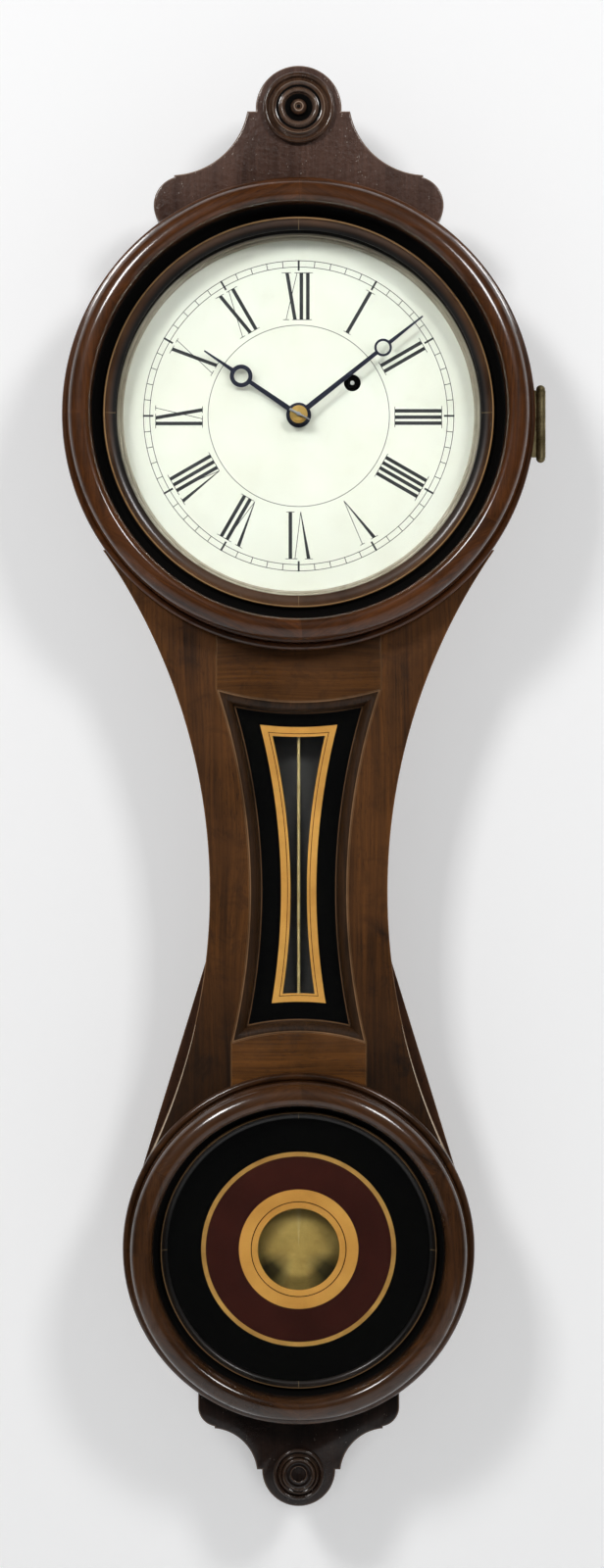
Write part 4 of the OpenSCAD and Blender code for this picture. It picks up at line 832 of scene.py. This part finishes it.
def throat_frame():
    """The mitred moulding: the opening's outline drawn in by d, at depth f, for each point (d, f) of a
    section with a fillet, a quarter round and a foot that stands on the glass."""
    top = PANEL_FRONT - 0.5
    r = MOULDING_W - 1.6
    middle = top - r - 0.3
    section = np.concatenate([
        [(0.0, MOULDING_FOOT), (0.0, top - 0.2), (0.2, top), (0.9, top), (1.1, top - 0.2)],
        arc((0.8, middle), r, 86, 0, 18),
        [(MOULDING_W - 0.3, middle), (MOULDING_W, middle - 0.3), (MOULDING_W, MOULDING_FOOT)]])
    points = np.concatenate([at_depth(throat(d), f) for d, f in section])
    count = len(points) // len(section)
    faces = grid_faces(len(section), count, True, True, turn=True)
    mask = np.repeat(sharpness(section[:, ::-1], True), count)
    return make("throat_frame", points, faces, "case", points[:, (1, 0, 2)] + 83.0, arris=mask)


fit(throat_frame(), "moulding_walnut", "throat_moulding")


def side_outline(inset_by):
    """The right half of the case side, from the foot's lowest point round to the head's top: the foot
    circle, a straight flare up to the waist curve, the waist curve, and the head circle."""
    all_in = SIDE_INSET + inset_by
    foot_r, head_r, waist_r = FOOT_R - all_in, HEAD_R - all_in, WAIST_R + all_in + WAIST_BITE
    flare_up = 34.3
    flare_low = np.array([math.sqrt(foot_r ** 2 - flare_up ** 2), flare_up - CENTRE_GAP])
    flare_top = across(WAIST, waist_r, WAIST_Y - 33.6, -1)
    head_touch = HEAD + HEAD_DIR * head_r
    waist_touch = across(WAIST, waist_r, head_touch[1], -1)
    return np.concatenate([
        run(FOOT, foot_r, FOOT + (0, -foot_r), flare_low, 60),
        line(flare_low, flare_top, 12)[1:],
        run(WAIST, waist_r, flare_top, waist_touch, 60)[1:],
        run(HEAD, head_r, head_touch, HEAD + (0, head_r), 80)])


def spaced(path, count):
    """The same path with its points an even distance apart, by the length run along it."""
    run_on = lengths(path)
    at = np.linspace(0.0, run_on[-1], count)
    return np.column_stack([np.interp(at, run_on, path[:, 0]), np.interp(at, run_on, path[:, 1])])


def case_wall(name, side):
    """One side of the case: a wall with both arrises eased, carried along the outline from the foot's
    lowest point to the head's top, its inner face drawn in by the side's thickness."""
    count = 260
    outer = spaced(side_outline(0.0), count)
    inner = spaced(side_outline(SIDE_T), count)
    section = np.concatenate([
        [(SIDE_T, BACK_T), (0.0, BACK_T)], eased(0.5, SIDE_FRONT), [(SIDE_T, SIDE_FRONT)]])
    columns = len(section)
    grid = np.stack([at_depth(outer + (inner - outer) * d / SIDE_T, f) for d, f in section], axis=1)
    grid[..., 0] *= side
    points = grid.reshape(-1, 3)
    faces = grid_faces(count, columns, False, True, turn=side < 0) + end_faces(len(points), columns, side < 0)
    mask = np.tile(np.concatenate([[0, 0], WORN_STEPS, [0]]), count)
    along = np.repeat(np.linspace(0, 900, count), columns)
    grain = np.column_stack([along, points[:, 2] + 7 * side, points[:, 0] * 0.2 + 300 * side])
    return make(name, points, faces, "case", grain, arris=mask)


for side, label in ((-1, "left"), (1, "right")):
    fit(case_wall("case_side_" + label, side), "side_walnut", "side_" + label)


def scroll(lobe, start, wing_x, sweep, ledge_y, end, hand, counts):
    """The right half of an ornament's edge, away from its seat: lobe, wing, sweep, ledge and round end, each an
    arc of its circle up to the next. hand is 1 for an ornament that stands, -1 for one that hangs."""
    (x, y), r = end
    return np.concatenate([
        run(*lobe, start, beside(*lobe, wing_x, hand), counts[0]),
        run(*sweep, beside(*sweep, wing_x, -hand), across(*sweep, ledge_y, -1), counts[1]),
        run(*end, across(*end, ledge_y, 1), (x, y + hand * r), 26)])


def crest_half():
    """The crest's edge, from where its lobe meets the head circle up to its round top."""
    lobe = np.array([69.5, CREST_Y - 58.0]), 17.6
    start = meet(HEAD, HEAD_R - SIDE_INSET, *lobe, -1)
    return scroll(lobe, start, 74.8, (np.array([77.0, CREST_Y + 7.0]), 46.9),
                  CREST_Y - 1.6, (np.array([0.0, CREST_Y]), CREST_R), 1, (16, 30))


def pendant_half():
    """The pendant's edge, from the foot circle straight down to its shoulder and on to its round tip."""
    base = FOOT[1] - PENDANT_Y
    shoulder = np.array([48.4, base + 37.7]), 12.0
    seat, out_x = FOOT_R - SIDE_INSET, shoulder[0][0] + shoulder[1]
    start = across(FOOT, seat, base + 53.0, 1)
    if start[0] > out_x:
        start = beside(FOOT, seat, out_x, -1)
    return np.concatenate([[start], scroll(
        shoulder, (out_x, shoulder[0][1]), 50.5, (np.array([53.0, base - 3.3]), 28.1), base,
        (np.array([0.0, base]), PENDANT_R), -1, (14, 26))])


def ornament(name, half, centre, seat):
    """A fretted board: a half outline and its mirror image, closed by the arc that it is seated on."""
    seated = run(centre, seat, half[0] * (-1, 1), half[0], 60)
    outline = np.concatenate([half, flip(half)[1:], seated[1:-1]])
    return slab(name, outline, ORNAMENT_BACK, ORNAMENT_FRONT, 1.1, 0.5)


fit(ornament("crest_board", crest_half(), HEAD, HEAD_R - SIDE_INSET), "crest_walnut", "crest")
fit(ornament("pendant_board", pendant_half(), FOOT, FOOT_R - SIDE_INSET),
    "pendant_walnut", "pendant")


def rosette(name, centre, r, ring_r, boss_r, hollow=0.0):
    """A turned rosette: a bead round the edge, a dished field, a raised ring, and a boss with its point or,
    where a hollow's radius is given, a hole with a rounded brim."""
    f = ORNAMENT_FRONT
    top, bead, ring = f + r * 0.13, r * 0.07, r * 0.055
    path = [line((0.0, f), (r - 0.3, f), 2), arc((r - bead, top), bead, 0, 175, 16),
            [(r - 2.2 * bead, top - 0.5), (r * 0.8, top - 0.2), (r * 0.77, top + 0.5)],
            [(r * 0.74, top + ring * 0.7)],
            arc((r * 0.6, top + ring * 4.2), r * 0.17, -40, -140, 8),
            arc((ring_r, top + ring * 1.6), ring, 0, 180, 14), [(ring_r - ring, top + 0.5)]]
    if hollow:
        path += [[(boss_r, top + 0.2), (hollow + 0.6, top + 0.2)], arc((hollow, top), 0.4, 60, 180, 4),
                 [(hollow - 0.4, f + 1.0), (0.0, f + 0.9)]]
    else:
        path += [[(boss_r + 0.8, top + 0.3)], arc((0.0, top + 0.2), boss_r, 0, 60, 10),
                 [(boss_r * x, top + boss_r * y) for x, y in ((0.4, 0.8), (0.3, 0.7), (0.0, 0.75))]]
    return turned(name, "case", centre, np.concatenate(path), 128, 1, closed=False)


fit(rosette("crest_boss", (0.0, CREST_Y), CREST_R - 4.4, CREST_R * 0.4, CREST_R * 0.2),
    "rosette_walnut", "crest_rosette")
fit(rosette("pendant_boss", FOOT + (0.0, -PENDANT_Y - 2.3), PENDANT_R - 6.7, PENDANT_R * 0.41,
            PENDANT_R * 0.3, hollow=PENDANT_R * 0.22), "pendant_walnut", "pendant_rosette")


# Paint on the back of the glass, and the printed dial

def coat(name, body, outer, inner, forward, look):
    """A flat painted band between two outlines with as many points each, at one depth."""
    faces = grid_faces(2, len(outer), False, True, turn=True)
    dress(make(name, at_depth(np.concatenate([outer, inner]), forward), faces, body), look)


gold_in = eye(WAIST_X - 4.96, 193.3, 152.0)
for layer, (name, outer, inner, look) in enumerate((
        ("throat_black", throat(0.1), gold_in, "black_paint"),
        ("throat_gold", eye(WAIST_X - 10.6, 187.4, 146.9), gold_in, "gold_leaf"),
        ("throat_line", eye(WAIST_X - 6.9, 191.2, 150.5), eye(WAIST_X - 6.5, 191.6, 150.9), "line_paint"))):
    coat(name, "case", outer, inner, THROAT_PAINT_F + layer * COAT_T, look)

for name, r0, r1, layer, look in (
        ("paint_black", 24.2, 80.6, 0, "black_paint"), ("paint_rim", 55.5, 58.2, 1, "gold_line"),
        ("paint_maroon", 35.7, 55.5, 1, "maroon_paint"), ("paint_gold", 24.4, 35.7, 1, "gold_leaf"),
        ("paint_line", 28.05, 28.6, 2, "line_paint")):
    outer, inner = (arc(FOOT, r, 0, 360, 181)[:-1] for r in (r1, r0))
    coat(name, "bezel", outer, inner, BEZEL_PAINT_F + layer * BEZEL_COAT_T, look)


NUMERALS = (
    "X -4.6 I 1.6 I 5.5", "I 0.2", "I -1.4 I 2.6", "I -3 I 0.8 I 4.4", "I -4.6 I -1 I 2.6 I 6.4", "V 2",
    "V -1.2 I 5", "V -3 I 0.2 I 4.1", "V -4.8 I -2.3 I 1.6 I 5.6", "I -4.6 X 1.2", "X -0.8", "X -2.5 I 3.8")


def numerals():
    """Roman numerals as flat straight strokes. Each sign stands at a place across its hour's own line, in
    mm, and runs along it from the low to the high radius: (across, along) turned clockwise by the hour. A
    stroke is (place at the foot, place at the head, half width at the foot, half width at the head), a
    serif (place, reach to the left, reach to the right, radius)."""
    low, high = 57.9, 86.1
    hair, thick = 0.2, 1.08
    strokes = {"I": [(0.0, 0.0, thick, thick)], "V": [(0.0, -4.8, hair, thick), (0.0, 3.4, hair, hair)],
               "X": [(2.4, -2.4, thick, thick), (-3.0, 3.6, hair, hair)]}
    serifs = {"I": [(0.0, 2.5, 2.5, low), (0.0, 3.0, 3.0, high)],
              "V": [(-4.8, 2.6, 2.2, high), (3.4, 1.5, 1.5, high)],
              "X": [(-3.0, 1.8, 1.8, low), (2.4, 1.8, 2.2, low), (-2.4, 3.2, 2.4, high), (3.6, 1.5, 1.5, high)]}
    patches, hours = [], []
    for hour, signs in enumerate(NUMERALS):
        words = signs.split()
        for sign, at in zip(words[::2], map(float, words[1::2])):
            for foot, head, half_low, half_high in strokes[sign]:
                patches.append([(at + foot - half_low, low), (at + foot + half_low, low),
                                (at + head + half_high, high), (at + head - half_high, high)])
            for x, left, right, r in serifs[sign]:
                patches.append([(at + x - left, r - hair), (at + x + right, r - hair),
                                (at + x + right, r + hair), (at + x - left, r + hair)])
        hours += [hour * 30.0] * (len(patches) - len(hours))
    across, along = np.moveaxis(np.array(patches), 2, 0)
    turn = np.radians(hours)[:, None]
    x, y = across * np.cos(turn) + along * np.sin(turn), along * np.cos(turn) - across * np.sin(turn)
    points = at_depth(np.stack([x, y], axis=-1).reshape(-1, 2), DIAL_FRONT + COAT_T)
    return make("numerals", points, np.arange(len(points)).reshape(-1, 4).tolist(), "case")


dress(numerals(), "numeral_black")


# Pendulum bob, taper pin and the metal work

def bob_section():
    """Half section of the bob: two shallow domes, (r, sag above the rim), on a rounded rim."""
    rim, edge = 2.8, BOB_R - 3.0
    sag = BOB_T / 2 - rim
    dome = (edge * edge + sag * sag) / (2 * sag)
    reach = math.degrees(math.asin(edge / dome))
    front = arc((0.0, PENDULUM_F + BOB_T / 2 - dome), dome, 90 - reach, 90, 40)
    back = arc((0.0, PENDULUM_F - BOB_T / 2 + dome), dome, 270, 270 + reach, 40)
    back[0, 0] = front[-1, 0] = 0.0
    rim_arc = arc((BOB_R - rim, PENDULUM_F), rim, -80, 80, 16)
    return np.concatenate([back, rim_arc, front])


fit(turned("bob_lens", "bob", FOOT, bob_section(), closed=False, sharp=50), "spun_brass", "bob")


def steel_pin(name, a, b, r0, r1):
    """A tapered round pin with domed ends from point a to point b: a + (b - a) t + r(t) (u cos w + v sin w)."""
    sides = 20
    a, b = np.asarray(a, float), np.asarray(b, float)
    along = (b - a) / np.linalg.norm(b - a)
    u = np.cross(along, (0.0, 0.0, 1.0) if abs(along[2]) < 0.9 else (1.0, 0.0, 0.0))
    u /= np.linalg.norm(u)
    v = np.cross(along, u)
    t = np.array([0.0, 0.01, 0.03, 0.5, 0.97, 0.99, 1.0])
    r = (r0 + (r1 - r0) * t) * np.array([0.35, 0.75, 1.0, 1.0, 1.0, 0.75, 0.35])
    w = np.linspace(0, 2 * math.pi, sides, endpoint=False)
    spokes = np.cos(w)[:, None] * u + np.sin(w)[:, None] * v
    points = ((a + (b - a) * t[:, None])[:, None, :] + r[:, None, None] * spokes).reshape(-1, 3)
    faces = grid_faces(len(t), sides, False, True, turn=True) + end_faces(len(points), sides)
    dress(make(name, points, faces, "centre"), "steel")


lean = math.radians(-28)
pin_dir = np.array([math.cos(lean), math.sin(lean), 0.0])
pin_middle = np.array([0.0, 0.0, 79.4])
steel_pin("taper_pin", pin_middle - pin_dir * 6.2, pin_middle + pin_dir * 7.8, 0.85, 0.45)
steel_pin("arbor_tip", (0.0, 0.0, 77.9), (0.0, 0.0, 80.6), 1.3, 1.2)

FINISHES = {
    "inner_walnut": "backboard dial_seat", "slate_board": "weight_baffle", "dial_white": "dial",
    "clear_glass": "throat_glass main_glass lower_glass", "cast_iron": "weight",
    "hinge_brass": "hinge_leaf_case hinge_leaf_door", "plate_brass": "back_plate pillars pallet_cock",
    "front_brass": "front_plate", "key_brass": "barrel great_wheel", "gilt_rod": "pendulum_rod",
    "blued_steel": "hour_hand minute_hand", "cable_steel": "cable_fall cable_standing cable_bight",
    "steel": "hanger_plate catch_ball click centre_arbor cannon_pinion third_arbor escape_arbor pallets "
             "suspension_spring",
    "brass": "catch_barrel centre_wheel minute_wheel hour_wheel third_wheel escape_wheel crutch "
             "rating_nut pulley hand_collet"}
for look, names in FINISHES.items():
    for name in names.split():
        dress(nodes[name], look)


# Room: a pale wall behind, a pale floor below, soft lights and the camera

def pale_wall(seen):
    """Matt pale paint that the camera, gloss and glass see a little brighter than the lamps leave it, and that
    is clear from behind, so that the clock's back can be looked at."""
    b = Look("wall_paint", {"Specular IOR Level": 0.1, "Emission Color": paint(230, 230, 230)})
    rays = b.put("LightPath")
    share = b.most(rays["Is Camera Ray"], b.most(rays["Is Glossy Ray"], rays["Is Transmission Ray"]))
    b.feed(b.shader.inputs["Emission Strength"], b.times(share, seen))
    b.through(b.put("NewGeometry")["Backfacing"], b.put("BsdfTransparent")[0])
    b.finish(b.blend(b.noise(b.spot, 1.5, 2.0), (240, 240, 240), (236, 236, 236)), 0.9)


def plane(name, corners):
    mesh = bpy.data.meshes.new(name)
    mesh.from_pydata(place(corners).tolist(), [], [(0, 1, 2, 3)])
    dress(stand(name, mesh), "wall_paint")


pale_wall(0.31)
plane("room_wall", [(-3000, -1900, -1), (3000, -1900, -1), (3000, 2500, -1), (-3000, 2500, -1)])
plane("room_floor", [(-3000, -1900, 5000), (3000, -1900, 5000), (3000, -1900, -1), (-3000, -1900, -1)])

# Two soft square lamps, half a metre wide, above and before the clock and turned to its middle
middle = Vector(place((0, -300, 60)).tolist())
for name, x, up, watts in (("lamp_left", -1150, 1150, 29.5), ("lamp_right", 1200, 1100, 23.5)):
    lamp = bpy.data.lights.new(name, "AREA")
    lamp.shape, lamp.size, lamp.size_y, lamp.energy = "RECTANGLE", 0.5, 0.5, watts
    piece = stand(name, lamp)
    piece.location = Vector(place((x, up, 2300)).tolist())
    piece.rotation_euler = (middle - piece.location).to_track_quat("-Z", "Y").to_euler()

world = bpy.data.worlds.new("room_air")
bpy.context.scene.world = world
world.use_nodes = True
air = Bench(world.node_tree)
sky = world.node_tree.nodes["Background"].inputs
rays = air.put("LightPath")
strength = air.between(rays["Is Glossy Ray"], 0.22, 0.03)
air.feed(sky["Color"], (0.97, 0.98, 1.0, 1.0))
air.feed(sky["Strength"], air.most(strength, air.times(rays["Is Camera Ray"], 0.85)))

view = bpy.data.cameras.new("view")
view.lens_unit = "MILLIMETERS"
view.sensor_fit = "VERTICAL"
view.sensor_height = 36.0
view.lens = 76.7
camera = stand("view", view)
camera.location = Vector(place((2.0, -221.7, 2080.0)).tolist())
camera.rotation_euler = (math.radians(90), 0.0, 0.0)
bpy.context.scene.camera = camera
bpy.context.scene.view_settings.view_transform = "Standard"
